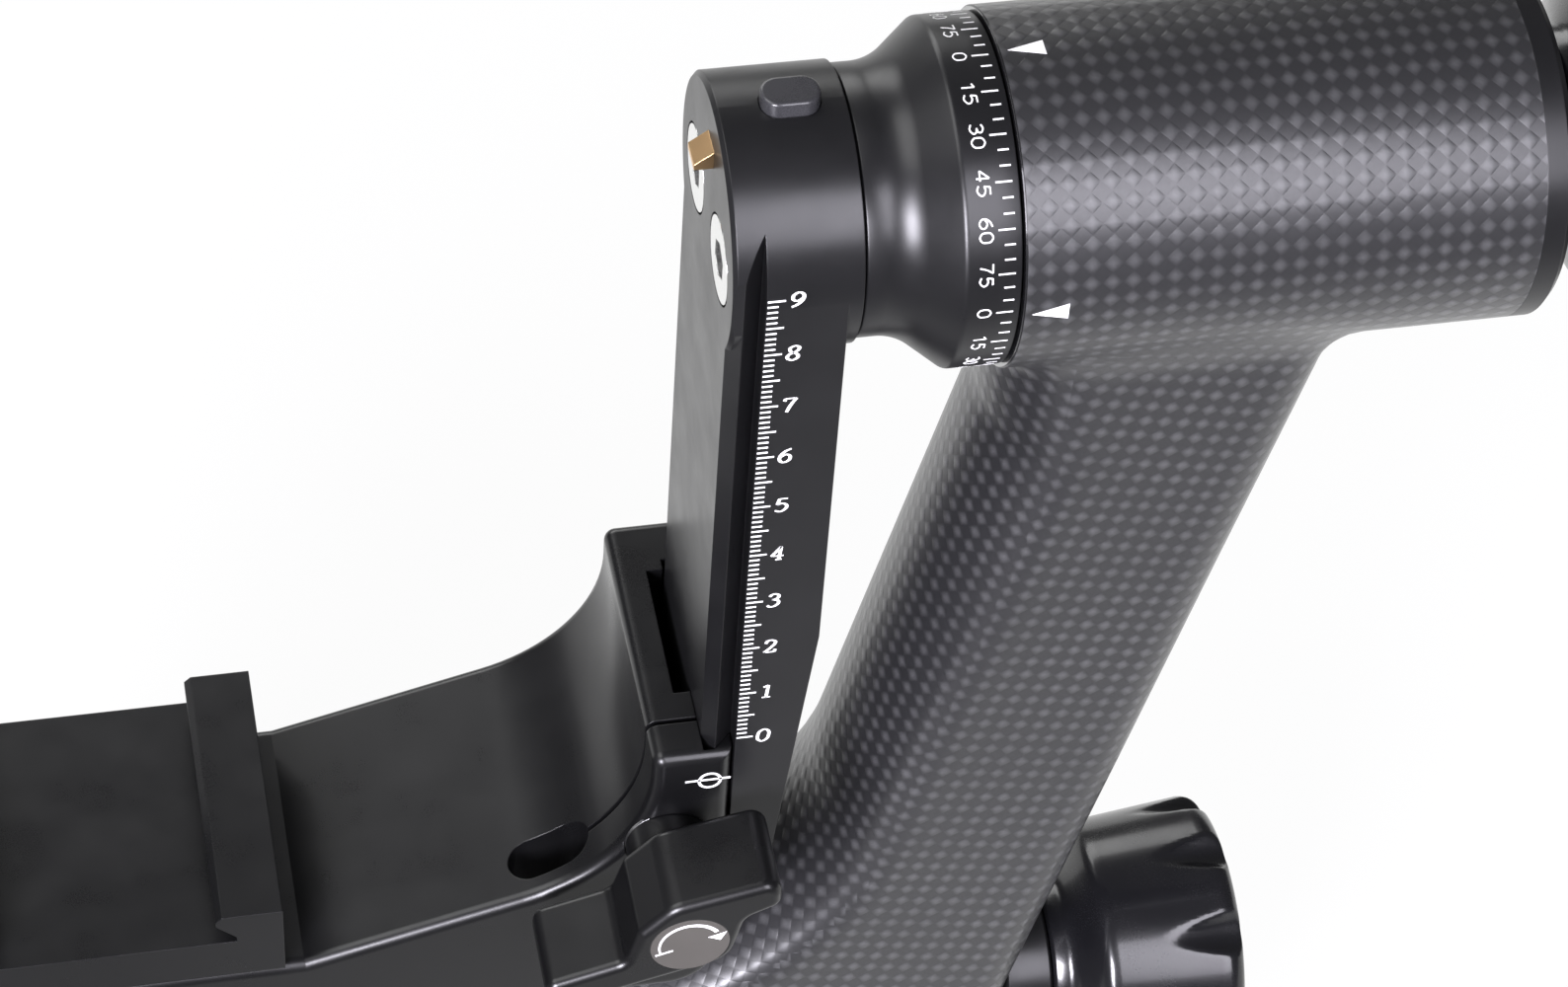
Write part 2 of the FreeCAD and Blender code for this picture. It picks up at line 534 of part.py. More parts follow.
# Aluminium liner in the tube, and the end cap that carries the tilt lock
def tube_parts():
    """Bearing housing with its bright rim, and the far end's closing pieces."""
    level = ("0", "0", "tilt_height")
    seat = "race_radius + seat_gap"
    left_end = "left_bearing + race_wide"
    liner = turned("liner_tube", "X", [
        ("tube_start - rim_wide", "race_radius - lip_wide"),
        ("tube_start - rim_wide", "tube_radius - rim_inset"),
        ("tube_start", "tube_radius - rim_inset"), ("tube_start", "liner_radius"),
        ("tube_end", "liner_radius"), ("tube_end", seat), ("right_bearing", seat),
        ("right_bearing", "liner_lip_radius"), (left_end, "liner_lip_radius"), (left_end, seat),
        ("left_bearing", seat), ("left_bearing", "race_radius - lip_wide")], level)
    circle = "(liner_radius + race_radius) / 2"
    centres = raised(spread(circle, int(value("end_screw_count"))), "tilt_height")
    cap_end = "tube_end + end_cap_thick"
    head_low = cap_end + " - end_head_tall - end_head_sink"
    shank = ("end_screw_radius", "tube_end - end_screw_deep", head_low)
    head = ("2 * end_screw_radius", head_low, cap_end + " - end_head_sink")
    SOLIDS["tube_liner"] = less("tube_liner", liner, *screw_holes(
        "liner", "X", centres,
        ("end_screw_radius", "tube_end - end_screw_deep - seat_gap", "tube_end + overcut"),
        ("end_screw_radius", "tube_end - overcut", "tube_end + overcut")))
    spigot = "race_radius - seat_gap"
    cap = turned("end_cap_disc", "X", [
        ("shaft_nut_x", "liner_lip_radius"), ("shaft_nut_x", spigot), ("tube_end", spigot),
        ("tube_end", "tube_radius"), (cap_end + " - cap_edge", "tube_radius"),
        (cap_end, "tube_radius - cap_edge"),
        (cap_end, "end_boss_radius"), (cap_end + " + end_boss_tall", "end_boss_radius"),
        (cap_end + " + end_boss_tall", "stud_radius + run_gap"), ("web_x", "stud_radius + run_gap"),
        ("web_x", "liner_lip_radius")], level)
    SOLIDS["tube_end_cap"] = less("tube_end_cap", cap, *screw_holes(
        "end_cap", "X", centres, ("end_screw_radius", "tube_end - overcut", cap_end),
        ("2 * end_screw_radius", head_low, cap_end + " + overcut")))
    SOLIDS["end_cap_screws"] = group("end_cap_screws", [
        screw("end_cap_screw_%d" % number, "X", centre, shank, head)
        for number, centre in enumerate(centres, start=1)])


# Flared hub with the dial, bolted to the flange of the tilt shaft
def flare():
    """The hub's flare: an eased curve from the neck up to the dial band."""
    steps = 8
    lag = 1.2
    points = []
    for step in range(steps + 1):
        share = step / steps
        ease = (1 - math.cos(math.pi * share ** lag)) / 2
        points.append(("hub_start + neck_long + flare_long * %.4f" % share,
                       "hub_neck + (dial_radius - hub_neck) * %.5f" % ease))
    return points


def hub_parts():
    """Hub, its screws, the shaft on its bearings, the spacer and the nut."""
    level = ("0", "0", "tilt_height")
    recess = "shaft_flange_radius + slack"
    hub = turned("hub_turned", "X", [("hub_start", "0"), ("hub_start", "hub_neck")] + flare() + [
        ("hub_end", "dial_radius"), ("hub_end", recess), ("flange_x", recess), ("flange_x", "0")], level)
    arm_centres = [("-arm_screw_offset", "tilt_height"), ("arm_screw_offset", "tilt_height")]
    thread_end = "arm_face + arm_screw_long"
    taps = screw_holes("hub_arm", "X", arm_centres, ("arm_screw_radius", "hub_start - overcut", thread_end),
                       ("arm_screw_radius", "hub_start - overcut", "hub_start + overcut"))
    centres = raised(spread("hub_screw_circle", int(value("hub_screw_count"))), "tilt_height")
    flange_end = "flange_x + shaft_flange_thick"
    shank = ("hub_screw_radius", "flange_x - hub_screw_deep", flange_end)
    head = ("hub_screw_head", flange_end, flange_end + " + hub_head_tall")
    taps += screw_holes("hub_shaft", "X", centres,
                        ("hub_screw_radius", "flange_x - hub_screw_deep - slack", "flange_x + overcut"),
                        ("hub_screw_radius", "flange_x - overcut", "flange_x + overcut"))
    SOLIDS["hub_flare"] = less("hub_flare", hub, *taps)
    bore = "race_bore - seat_gap"
    shaft = turned("shaft_turned", "X", [
        ("flange_x", "0"), ("flange_x", "shaft_flange_radius"), (flange_end, "shaft_flange_radius"),
        (flange_end, bore), ("hub_end", bore), ("hub_end", "shoulder_radius"),
        ("left_bearing", "shoulder_radius"), ("left_bearing", bore), ("shaft_nut_x", bore),
        ("shaft_nut_x", "spindle_thread_radius"), ("shaft_end", "spindle_thread_radius"),
        ("shaft_end", "0")], level)
    SOLIDS["tilt_shaft"] = less("tilt_shaft", shaft, *screw_holes(
        "shaft", "X", centres, ("hub_screw_radius", "flange_x - overcut", flange_end + " + overcut"),
        ("hub_screw_head", flange_end, "hub_end")))
    SOLIDS["hub_screws"] = group("hub_screws", [
        screw("hub_screw_%d" % number, "X", centre, shank, head)
        for number, centre in enumerate(centres, start=1)])
    SOLIDS["bearing_spacer"] = ring("bearing_spacer", "X", "race_bore + seat_gap", "shoulder_radius",
                                    "left_bearing + race_wide", "right_bearing", level)
    nut = ring("shaft_nut_ring", "X", "spindle_thread_radius + seat_gap", "shoulder_radius",
               "shaft_nut_x", "shaft_end", level)
    slot = block("shaft_nut_slot",
                 ("shaft_end - nut_slot_deep", "-shoulder_radius - overcut", "tilt_height - nut_slot / 2"),
                 ("shaft_end + overcut", "shoulder_radius + overcut", "tilt_height + nut_slot / 2"))
    SOLIDS["shaft_nut"] = less("shaft_nut", nut, slot)


# Swing arm: a flat bar with a dovetail rail on its -X face, hung from the hub
def groove_cutter(name, side):
    """The V groove behind the rail, on one side of the bar, with the ridge's tip taken off."""
    outer = "%s * (arm_half + overcut)" % side
    tip = "%s * ridge_half" % side
    points = [("groove_wall", "%s * groove_half" % side), ("groove_wall", outer),
              ("arm_face - overcut", outer), ("arm_face - overcut", tip), ("ridge_x", tip)]
    if side == "1":
        points.reverse()
    return padded(name, "XY_Plane", points, "arm_bottom - overcut", "arm_top + overcut")


def swing_arm():
    """The bar with its rail, grooves, tapered back, screw seats, button well and pin slot."""
    section = [("arm_face", "rail_half"), ("arm_face", "-rail_half"), ("ridge_x", "-ridge_half"),
               ("ridge_x", "-arm_half"), ("arm_back", "-arm_half"), ("arm_back", "arm_half"),
               ("ridge_x", "arm_half"), ("ridge_x", "ridge_half")]
    bar = padded("arm_bar", "XY_Plane", section, "arm_bottom", "tilt_height")
    disc = turned("arm_disc", "X", [
        ("arm_face", "0"), ("arm_face", "arm_half - arm_edge"), ("arm_face + arm_edge", "arm_half"),
        ("hub_start", "arm_half"), ("hub_start", "0")], ("0", "0", "tilt_height"))
    whole = joined("arm_bar_and_disc", bar, disc)
    drop = "(arm_taper_top - arm_bottom + overcut)"
    taper = padded("arm_taper_cut", "XZ_Plane", [
        ("arm_back", "arm_taper_top"),
        ("arm_back - %s * tan(arm_taper)" % drop, "arm_bottom - overcut"),
        ("arm_back + overcut", "arm_bottom - overcut"), ("arm_back + overcut", "arm_taper_top")],
        "-(arm_half + overcut)", "arm_half + overcut")
    centres = [("-arm_screw_offset", "tilt_height"), ("arm_screw_offset", "tilt_height")]
    sink = "arm_screw_head + screw_ring - seat_gap"
    seats = screw_holes("arm", "X", centres,
                        ("arm_screw_radius", "arm_face - overcut", "hub_start + overcut"),
                        (sink, "arm_face - overcut", "arm_face + arm_screw_deep"))
    pin_slot = block("pin_slot",
                     ("arm_face - overcut", "-(pin_half + slide_gap)", "tilt_height + pin_low - slide_gap"),
                     ("stem_x - stem_radius", "pin_half + slide_gap", "pin_top + slide_gap"))
    well = stadium("button_well", "slide_gap", "button_low - button_travel - slack", "arm_top + overcut")
    stem_well = rod("spring_well", "Z", "spring_radius + slide_gap", "spring_deep + slack",
                    ("stem_x", "0", "button_low - spring_deep - slack"))
    stem_hole = rod("stem_hole", "Z", "stem_radius + run_gap", "stem_long + button_travel + slack",
                    ("stem_x", "0", "button_low - stem_long - button_travel - slack"))
    SOLIDS["swing_arm"] = less("swing_arm", whole, groove_cutter("groove_front", "-1"),
                               groove_cutter("groove_back", "1"), taper, pin_slot, well, stem_well,
                               stem_hole, *seats)
    screws = []
    for number, centre in enumerate(centres, start=1):
        body = screw("arm_screw_body_%d" % number, "X", centre,
                     ("arm_screw_radius", "arm_face + arm_screw_deep", "arm_face + arm_screw_long - slack"),
                     ("arm_screw_head", "arm_face", "arm_face + arm_screw_deep"))
        socket = hex_prism("arm_screw_socket_%d" % number, "X", "socket_across",
                           "socket_deep + overcut", along("X", "arm_face - overcut", centre))
        screws.append(less("arm_screw_%d" % number, body, socket))
    SOLIDS["arm_screws"] = group("arm_screws", screws)


def stadium(name, grow, low, high):
    """The button's rounded outline, grown by a clearance."""
    half_long = "button_long / 2 + " + grow
    half_wide = "button_wide / 2 + " + grow
    left, right = "button_x - (%s)" % half_long, "button_x + %s" % half_long
    body = padded(name, "XY_Plane", [(left, "-(%s)" % half_wide), (right, "-(%s)" % half_wide),
                                     (right, half_wide), (left, half_wide)], low, high)

    def upright(edge):
        one, two = edge.Vertexes[0].Point, edge.Vertexes[-1].Point
        return abs(one.z - two.z) > 1 and abs(one.x - two.x) < 1e-6
    rounded(body, "button_round + " + grow, upright)
    return body


def button_parts():
    """Release button with its stem, the spring below it and the brass safety pin."""
    head = stadium("button_head", "0", "button_low", "arm_top + button_rise")

    def top_edge(edge):
        return all(abs(spot.Point.z - value("arm_top + button_rise")) < 1e-6 for spot in edge.Vertexes)
    rounded(head, "button_edge", top_edge)
    stem = rod("button_stem", "Z", "stem_radius", "stem_long + button_edge",
               ("stem_x", "0", "button_low - stem_long"))
    SOLIDS["release_button"] = joined("release_button", head, stem)
    SOLIDS["button_spring"] = ring("button_spring", "Z", "spring_radius - spring_wall", "spring_radius",
                                   "button_low - spring_deep", "button_low", ("stem_x", "0", "0"))
    low, high = "tilt_height + pin_low", "pin_top"
    back = "arm_face + pin_body"
    SOLIDS["safety_pin"] = padded("safety_pin", "XZ_Plane", [
        ("arm_face - pin_out", low), (back + " + pin_tongue", low),
        (back + " + pin_tongue", low + " + pin_tongue_tall"), (back, low + " + pin_tongue_tall"),
        (back, high), ("arm_face", high), ("arm_face - pin_out", low + " + pin_nose")],
        "-pin_half", "pin_half")


# Cradle bracket: it slides on the rail, and its front jaw is pinched by the clamp lever
def rail_channel(name):
    """The room for the rail and the round head above it, wider by the sliding gap."""
    side = "(groove_half + slide_gap)"
    top = "(ridge_half + slide_gap)"
    half = [("groove_wall + overcut", side), ("groove_wall", side), ("ridge_x", top), ("inner_wall", top)]
    points = [(x, "-(%s)" % y) for x, y in half] + [(x, y) for x, y in reversed(half)]
    points.reverse()
    return padded(name, "XY_Plane", points, "bracket_low - overcut", "wall_top + overcut")


def cradle_bracket():
    """The bracket in one outline, with the rail channel, slit, pill pocket and clamp seats cut in."""
    foot = ("wall_face", "foot_z")
    knee = ("knee_x", "seat_top")
    low_right = ("jaw_end", "bracket_low")
    slope_low = ("low_start", "bracket_low")
    form = padded("bracket_form", "XZ_Plane", [
        ("seat_left", "seat_low"), ("seat_right", "seat_low"), slope_low, low_right,
        ("jaw_end", "wall_top"), ("wall_face", "wall_top"), foot, knee, ("seat_left", "seat_top")],
        "-jaw_front", "bracket_back")
    rounded(form, "wall_fillet", across_corner([foot]))
    rounded(form, "knee_round", across_corner([slope_low]))
    rounded(form, "low_round", across_corner([low_right]))
    rounded(form, "edge_round", across_corner([("wall_face", "wall_top")]))
    front, back = on_level("y", "-jaw_front"), on_level("y", "bracket_back")
    rail_side = on_level("x", "jaw_end")
    left_side = on_level("x", "seat_left")
    rounded(form, "edge_round", lambda edge: (front(edge) or back(edge))
            and not rail_side(edge) and not left_side(edge))
    pill_y = "pill_y"
    half = "(pill_wide / 2)"
    right = "pill_left + pill_long"
    below = "bracket_low - overcut"
    pill_ends = ("pill_left + " + half, right + " - " + half)
    pill = joined("pill_pocket",
                  block("pill_middle", (pill_ends[0], pill_y + " - " + half, below),
                        (pill_ends[1], pill_y + " + " + half, "wall_top")),
                  *[rod("pill_end_%d" % number, "Z", half, "wall_top - (%s)" % below, (x, pill_y, below))
                    for number, x in enumerate(pill_ends, start=1)])
    slit = block("jaw_slit", (right + " - " + half, "slit_y - slit_wide / 2", below),
                 ("arm_face + overcut", "slit_y + slit_wide / 2", "wall_top + overcut"))
    relief = block("wall_relief", ("inner_wall - relief_deep", "relief_low_y", "relief_low"),
                   ("arm_face + overcut", "relief_high_y", "wall_top + overcut"))
    recess = rod("lever_recess_cut", "Y", "lever_recess", "recess_deep + overcut",
                 ("lever_x", "-jaw_front - overcut", "lever_z"))
    thread = rod("bolt_bore", "Y", "bolt_radius + seat_gap", "bolt_long + overcut",
                 ("lever_x", "-jaw_front - overcut", "lever_z"))
    cutters = [rail_channel("rail_channel"), pill, slit, relief, recess, thread]
    for number, (x, y) in enumerate(clamp_screw_centres(), start=1):
        cutters.append(rod("seat_hole_%d" % number, "Z", "clamp_screw_radius + seat_gap",
                           "seat_top - seat_low + overcut", (x, y, "seat_low")))
        cutters.append(rod("seat_sink_%d" % number, "Z", "clamp_screw_head + slack",
                           "clamp_screw_sink + overcut", (x, y, "seat_low - overcut")))
    SOLIDS["cradle_bracket"] = less("cradle_bracket", form, *cutters)


def clamp_screw_centres():
    """Four screws in a rectangle about the middle of the lens clamp."""
    return [("clamp_screw_mid %s clamp_screw_x" % one, "cradle_mid %s clamp_screw_y" % two)
            for one in "-+" for two in "-+"]


def wing_outline():
    """The two stepped wings: corners about the lever's axis and their rounding, in hub radii."""
    corners = [(-1.206, 0.54, 0.317), (-0.444, 1.365, 0.794), (2.111, 1.937, 0.397),
               (2.111, 1.048, 0.317), (1.302, 0.667, 0.476), (0.984, -0.794, 0.794),
               (-3.317, -2, 0.397), (-3.317, -1.048, 0.317), (-1.492, -0.508, 0.397)]
    return [("lever_x + (%s) * lever_hub" % x, "lever_z + (%s) * lever_hub" % z, radius)
            for x, z, radius in corners]


def lever_parts():
    """Clamp bolt fixed in the bracket, thrust washer, and the lever with its bush and badge."""
    centre = ("lever_x", "0", "lever_z")
    SOLIDS["clamp_bolt"] = ring("clamp_bolt", "Y", "0", "bolt_radius", "-jaw_front - bolt_proud",
                                "-jaw_front - bolt_proud + bolt_long + recess_deep", centre)
    recess_floor = "-jaw_front + recess_deep"
    SOLIDS["lever_washer"] = ring("lever_washer", "Y", "bolt_radius + run_gap", "lever_hub",
                                  recess_floor + " - washer_thick + seat_gap", recess_floor, centre)
    corners = wing_outline()
    points = [(x, z) for x, z, _ in reversed(corners)]
    wings = padded("lever_wings", "XZ_Plane", points, "wing_front", "wing_back")
    for size in sorted({radius for _, _, radius in corners}, reverse=True):
        chosen = [(x, z) for x, z, radius in corners if radius == size]
        rounded(wings, "lever_hub * %s" % size, across_corner(chosen))
    front, back = on_level("y", "wing_front"), on_level("y", "wing_back")
    rounded(wings, "lever_edge", lambda edge: front(edge) or back(edge))
    hub = ring("lever_hub_disc", "Y", "0", "lever_hub", "wing_front + lever_edge", "lever_back", centre)
    bush_out = "bolt_radius + bush_wall"
    bush_front = "-jaw_front - bolt_proud - slack"
    SOLIDS["clamp_lever"] = less(
        "clamp_lever", joined("lever_whole", wings, hub),
        rod("lever_bore", "Y", bush_out + " + seat_gap", "lever_wing_thick",
            ("lever_x", bush_front, "lever_z")),
        rod("badge_seat", "Y", "badge_radius + seat_gap", "badge_thick + overcut",
            ("lever_x", "wing_front - overcut", "lever_z")))
    SOLIDS["lever_bush"] = ring("lever_bush", "Y", "bolt_radius + run_gap", bush_out, bush_front,
                                "lever_back", centre)
    SOLIDS["lever_badge"] = ring("lever_badge", "Y", "0", "badge_radius", "wing_front",
                                 "wing_front + badge_thick", centre)


# Lens clamp on the level seat: fixed jaw, moving jaw, guide pins, springs and screws
def jaw_lip(side, back):
    """Corners of one dovetail jaw, from its outer side to the lip over the plate."""
    face = "(plate_half)"
    lip = "(plate_half - lip_slope)"
    return [("%s%s" % (side, face), "floor_z"), ("%s%s" % (side, face), "floor_z + lip_rise"),
            ("%s%s" % (side, lip), "floor_z + lip_rise + lip_slope"),
            ("%s%s" % (side, lip), "clamp_top - jaw_edge"),
            ("%s%s + (%sjaw_edge)" % (side, lip, side), "clamp_top"),
            (back, "clamp_top")]


def lens_clamp():
    """Clamp base with the fixed jaw, and the moving jaw opposite it."""
    low, high = "-jaw_front", "bracket_back"
    base = padded("clamp_base_form", "XZ_Plane", [
        ("clamp_left", "seat_top"), ("clamp_right", "seat_top"), ("clamp_right", "clamp_top")]
        + list(reversed(jaw_lip("", "clamp_right")))[1:] + [("clamp_left", "floor_z")], low, high)
    jaw = padded("moving_jaw_form", "XZ_Plane", [
        ("jaw_left", "seat_top + slack"), ("clamp_left - slack", "seat_top + slack"),
        ("clamp_left - slack", "floor_z")] + jaw_lip("-", "jaw_left"), low, high)
    middle = "cradle_mid"
    pin_ys = ["cradle_mid - guide_offset", "cradle_mid + guide_offset"]
    pin_start = "jaw_left + guide_inset"
    jaw_deep = "clamp_left - jaw_left + overcut"
    base_cuts = [rod("base_bolt_hole", "X", "clamp_bolt_radius + run_gap",
                     "clamp_right - clamp_left + 2 * overcut", ("clamp_left - overcut", middle, "bolt_z"))]
    jaw_cuts = [rod("jaw_bolt_hole", "X", "clamp_bolt_radius + run_gap", jaw_deep,
                    ("jaw_left - overcut", middle, "bolt_z"))]
    pins, springs = [], []
    for number, pin_y in enumerate(pin_ys, start=1):
        pins.append(rod("guide_pin_%d" % number, "X", "guide_radius", "guide_long",
                        (pin_start, pin_y, "bolt_z")))
        base_cuts.append(rod("base_pin_hole_%d" % number, "X", "guide_radius + seat_gap", "guide_long",
                             (pin_start, pin_y, "bolt_z")))
        base_cuts.append(rod("base_spring_hole_%d" % number, "X", "jaw_spring_radius + slide_gap",
                             "jaw_spring_long + overcut", ("clamp_left - overcut", pin_y, "bolt_z")))
        jaw_cuts.append(rod("jaw_pin_hole_%d" % number, "X", "guide_radius + run_gap", jaw_deep,
                            ("jaw_left - overcut", pin_y, "bolt_z")))
        springs.append(ring("jaw_spring_%d" % number, "X", "jaw_spring_radius - jaw_spring_wall",
                            "jaw_spring_radius", "clamp_left - slack", "clamp_left + jaw_spring_long",
                            ("0", pin_y, "bolt_z")))
    screws = []
    for number, centre in enumerate(clamp_screw_centres(), start=1):
        sink_top = "seat_low + clamp_screw_sink"
        shank = ("clamp_screw_radius", sink_top, "floor_z - clamp_screw_cover")
        head = ("clamp_screw_head", "seat_low + clamp_head_sink", sink_top)
        body = screw("clamp_screw_body_%d" % number, "Z", centre, shank, head)
        socket = hex_prism("clamp_screw_socket_%d" % number, "Z", "clamp_socket",
                           "clamp_head_sink + clamp_socket_deep", along("Z", "seat_low", centre))
        screws.append(less("clamp_screw_%d" % number, body, socket))
        base_cuts.append(rod("base_screw_hole_%d" % number, "Z", "clamp_screw_radius + seat_gap",
                             "clamp_floor - clamp_screw_cover + slack + overcut",
                             centre + ("seat_top - overcut",)))
    SOLIDS["clamp_base"] = less("clamp_base", base, *base_cuts)
    SOLIDS["moving_jaw"] = less("moving_jaw", jaw, *jaw_cuts)
    SOLIDS["jaw_guide_pins"] = group("jaw_guide_pins", pins)
    SOLIDS["jaw_springs"] = group("jaw_springs", springs)
    SOLIDS["clamp_base_screws"] = group("clamp_base_screws", screws)


# Fluted knobs, each turning on a threaded stud along X
def knob(name, start, long, radius, neck, level, y="0", left=False):
    """A knob that widens from its neck to its rim, with tapered flutes from the rim back."""
    waist = "(%s - knob_waist)" % radius
    facing = FreeCAD.Rotation(AXES["Z"], 180) if left else FreeCAD.Rotation(AXES["Z"], 0)
    body = turned(name, "X", [
        ("0", "stud_radius + seat_gap"), ("0", neck), ("knob_neck_long / 2", neck),
        ("knob_neck_long", "(%s + %s) / 2" % (neck, waist)),
        ("knob_neck_long + knob_shoulder", waist + " - knob_ease"),
        ("knob_neck_long + 2 * knob_shoulder", waist), ("%s - knob_round" % long, radius),
        ("%s - knob_round / 3" % long, "%s - knob_round / 3" % radius),
        (long, "%s - knob_round" % radius), (long, "stud_radius + seat_gap")],
        (start, y, level), facing)
    doc.recompute()
    cone = body.newObject("PartDesign::SubtractiveCone", name + "_flute")
    home = [one for one in body.Origin.OriginFeatures if one.Role == "YZ_Plane"][0]
    cone.AttachmentSupport = [(home, "")]
    cone.MapMode = "FlatFace"
    cone.setExpression("AttachmentOffset.Base.y", ref("%s + flute_large / 3" % radius))
    cone.setExpression("AttachmentOffset.Base.z", ref("knob_neck_long"))
    cone.setExpression("Radius1", ref("flute_small"))
    cone.setExpression("Radius2", ref("flute_large"))
    cone.setExpression("Height", ref("%s - knob_neck_long + overcut" % long))
    doc.recompute()
    pattern = body.newObject("PartDesign::PolarPattern", name + "_flutes")
    pattern.Originals = [cone]
    turn_axis = [one for one in body.Origin.OriginFeatures if one.Role == "X_Axis"][0]
    pattern.Axis = (turn_axis, [""])
    pattern.Angle = 360
    pattern.setExpression("Occurrences", ref("knob_flutes"))
    body.Tip = pattern
    doc.recompute()
    SOLIDS[name] = body


def knob_parts():
    """The three knobs with their studs and caps, and the two brakes they press on."""
    cap = "pan_knob_end"
    knob("pan_lock_knob", "pan_knob_start", "pan_knob_long", "pan_knob_radius", "pan_neck_radius",
         "lock_height")
    at_lock = ("0", "0", "lock_height")
    shoe_end = "shoe_x + shoe_long"
    stud_start = "collar_x - bushing_long + stud_inset"
    SOLIDS["pan_lock_stud"] = ring("pan_lock_stud", "X", "0", "stud_radius", stud_start, cap, at_lock)
    SOLIDS["pan_knob_cap"] = ring("pan_knob_cap", "X", "0", "pan_knob_radius / 2", cap,
                                  cap + " + knob_cap_thick", at_lock)
    SOLIDS["pan_lock_bushing"] = turned("pan_lock_bushing", "X", [
        ("collar_x - bushing_long", "stud_radius + run_gap"), ("collar_x - bushing_long", "bushing_radius"),
        ("collar_x", "bushing_radius"), ("collar_x", "bushing_collar - collar_edge"),
        ("collar_x + collar_edge", "bushing_collar"),
        ("collar_x + bushing_collar_thick - collar_edge", "bushing_collar"),
        ("collar_x + bushing_collar_thick", "bushing_collar - collar_edge"),
        ("collar_x + bushing_collar_thick", "stud_radius + run_gap")], at_lock)
    SOLIDS["pan_brake_rod"] = ring("pan_brake_rod", "X", "0", "brake_rod_radius", shoe_end,
                                   stud_start + " - slack", at_lock)
    shoe = ring("pan_shoe_round", "X", "0", "shoe_radius", "0", shoe_end, at_lock)
    reach = "(shoe_radius + overcut)"
    hollow = rod("pan_shoe_face", "Z", "shoe_x", "2 * " + reach, ("0", "0", "lock_height - " + reach))
    SOLIDS["pan_brake_shoe"] = less("pan_brake_shoe", shoe, hollow, block(
        "pan_shoe_back", ("-overcut", "-" + reach, "lock_height - " + reach),
        ("race_bore / 2", reach, "lock_height + " + reach)))
    at_tilt = ("0", "0", "tilt_height")
    knob("tilt_lock_knob", "tilt_knob_start", "tilt_knob_long", "tilt_knob_radius", "tilt_neck_radius",
         "tilt_height")
    end = "tilt_knob_start + tilt_knob_long"
    SOLIDS["tilt_lock_stud"] = ring("tilt_lock_stud", "X", "0", "stud_radius", "web_x",
                                    end, at_tilt)
    SOLIDS["tilt_knob_cap"] = ring("tilt_knob_cap", "X", "0", "tilt_knob_radius / 2", end,
                                   end + " + knob_cap_thick", at_tilt)
    SOLIDS["tilt_brake_pad"] = ring("tilt_brake_pad", "X", "0", "pad_radius", "pad_x", "web_x - slack",
                                    at_tilt)
    knob("lens_clamp_knob", "jaw_left - slack", "lens_knob_long", "lens_knob_radius", "lens_neck_radius",
         "bolt_z", "cradle_mid", left=True)
    SOLIDS["lens_clamp_bolt"] = ring("lens_clamp_bolt", "X", "0", "clamp_bolt_radius",
                                     "jaw_left - slack - lens_knob_long + bolt_recess",
                                     "clamp_right - bolt_cover",
                                     ("0", "cradle_mid", "bolt_z"))


base_parts()
housing_parts()
carbon_arm()
tube_parts()
hub_parts()
swing_arm()
button_parts()
cradle_bracket()
lever_parts()
lens_clamp()
knob_parts()
doc.recompute()

faults = [obj.Label for obj in doc.Objects if {"Invalid", "Error"} & set(obj.State)]
for node, piece in SOLIDS.items():
    if piece.Shape.isNull() or not piece.Shape.isValid() or piece.Shape.Volume < 1:
        faults.append(node)
if faults:
    raise RuntimeError("failed pieces: " + ", ".join(faults))
os.makedirs("parts", exist_ok=True)
for node, piece in SOLIDS.items():
    piece.Label = node
    piece.Shape.exportStep(os.path.join("parts", node + ".step"))
print(len(SOLIDS), "nodes,", sum(len(piece.Shape.Solids) for piece in SOLIDS.values()), "solids")
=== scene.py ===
"""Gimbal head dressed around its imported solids.

Finishes, carbon arm, hub, knobs, printed marks and studio. The settings are in metres. The shapes are worked
out in millimetres and turned into metres when their mesh is made.
"""

import json
import math

import bmesh
import bpy
import numpy as np
from mathutils import Matrix, Vector


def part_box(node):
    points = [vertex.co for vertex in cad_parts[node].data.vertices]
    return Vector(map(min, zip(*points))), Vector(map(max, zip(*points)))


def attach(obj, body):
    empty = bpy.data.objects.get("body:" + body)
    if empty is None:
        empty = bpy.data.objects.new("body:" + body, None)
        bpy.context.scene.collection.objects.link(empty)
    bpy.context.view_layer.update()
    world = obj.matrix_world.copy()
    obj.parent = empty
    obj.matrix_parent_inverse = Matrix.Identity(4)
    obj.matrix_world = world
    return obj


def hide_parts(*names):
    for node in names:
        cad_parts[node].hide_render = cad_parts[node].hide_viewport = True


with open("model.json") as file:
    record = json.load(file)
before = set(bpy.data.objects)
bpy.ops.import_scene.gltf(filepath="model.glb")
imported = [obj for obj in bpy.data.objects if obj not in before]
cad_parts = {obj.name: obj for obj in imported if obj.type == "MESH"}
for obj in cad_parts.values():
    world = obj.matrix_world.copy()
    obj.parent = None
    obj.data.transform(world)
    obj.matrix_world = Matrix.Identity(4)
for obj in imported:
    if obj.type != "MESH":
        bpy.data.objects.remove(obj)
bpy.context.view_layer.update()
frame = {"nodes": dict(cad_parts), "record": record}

bl_info = {
    "name": "Gimbal head",
    "version": (1, 0, 0),
    "blender": (4, 5, 0),
    "location": "View3D > Sidebar > Gimbal head",
    "description": "Finishes, carbon arm, hub, knobs, printed scales and studio of a gimbal head",
    "category": "Object",
}

MM = 0.001


def length(label, about, size):
    """A length that a user may change, in metres."""
    return bpy.props.FloatProperty(name=label, description=about, default=size, unit="LENGTH",
                                   subtype="DISTANCE", precision=5)


def colour(label, about, shade):
    """A colour that a user may change."""
    return bpy.props.FloatVectorProperty(name=label, description=about, default=shade, size=4,
                                         subtype="COLOR", min=0, max=1)


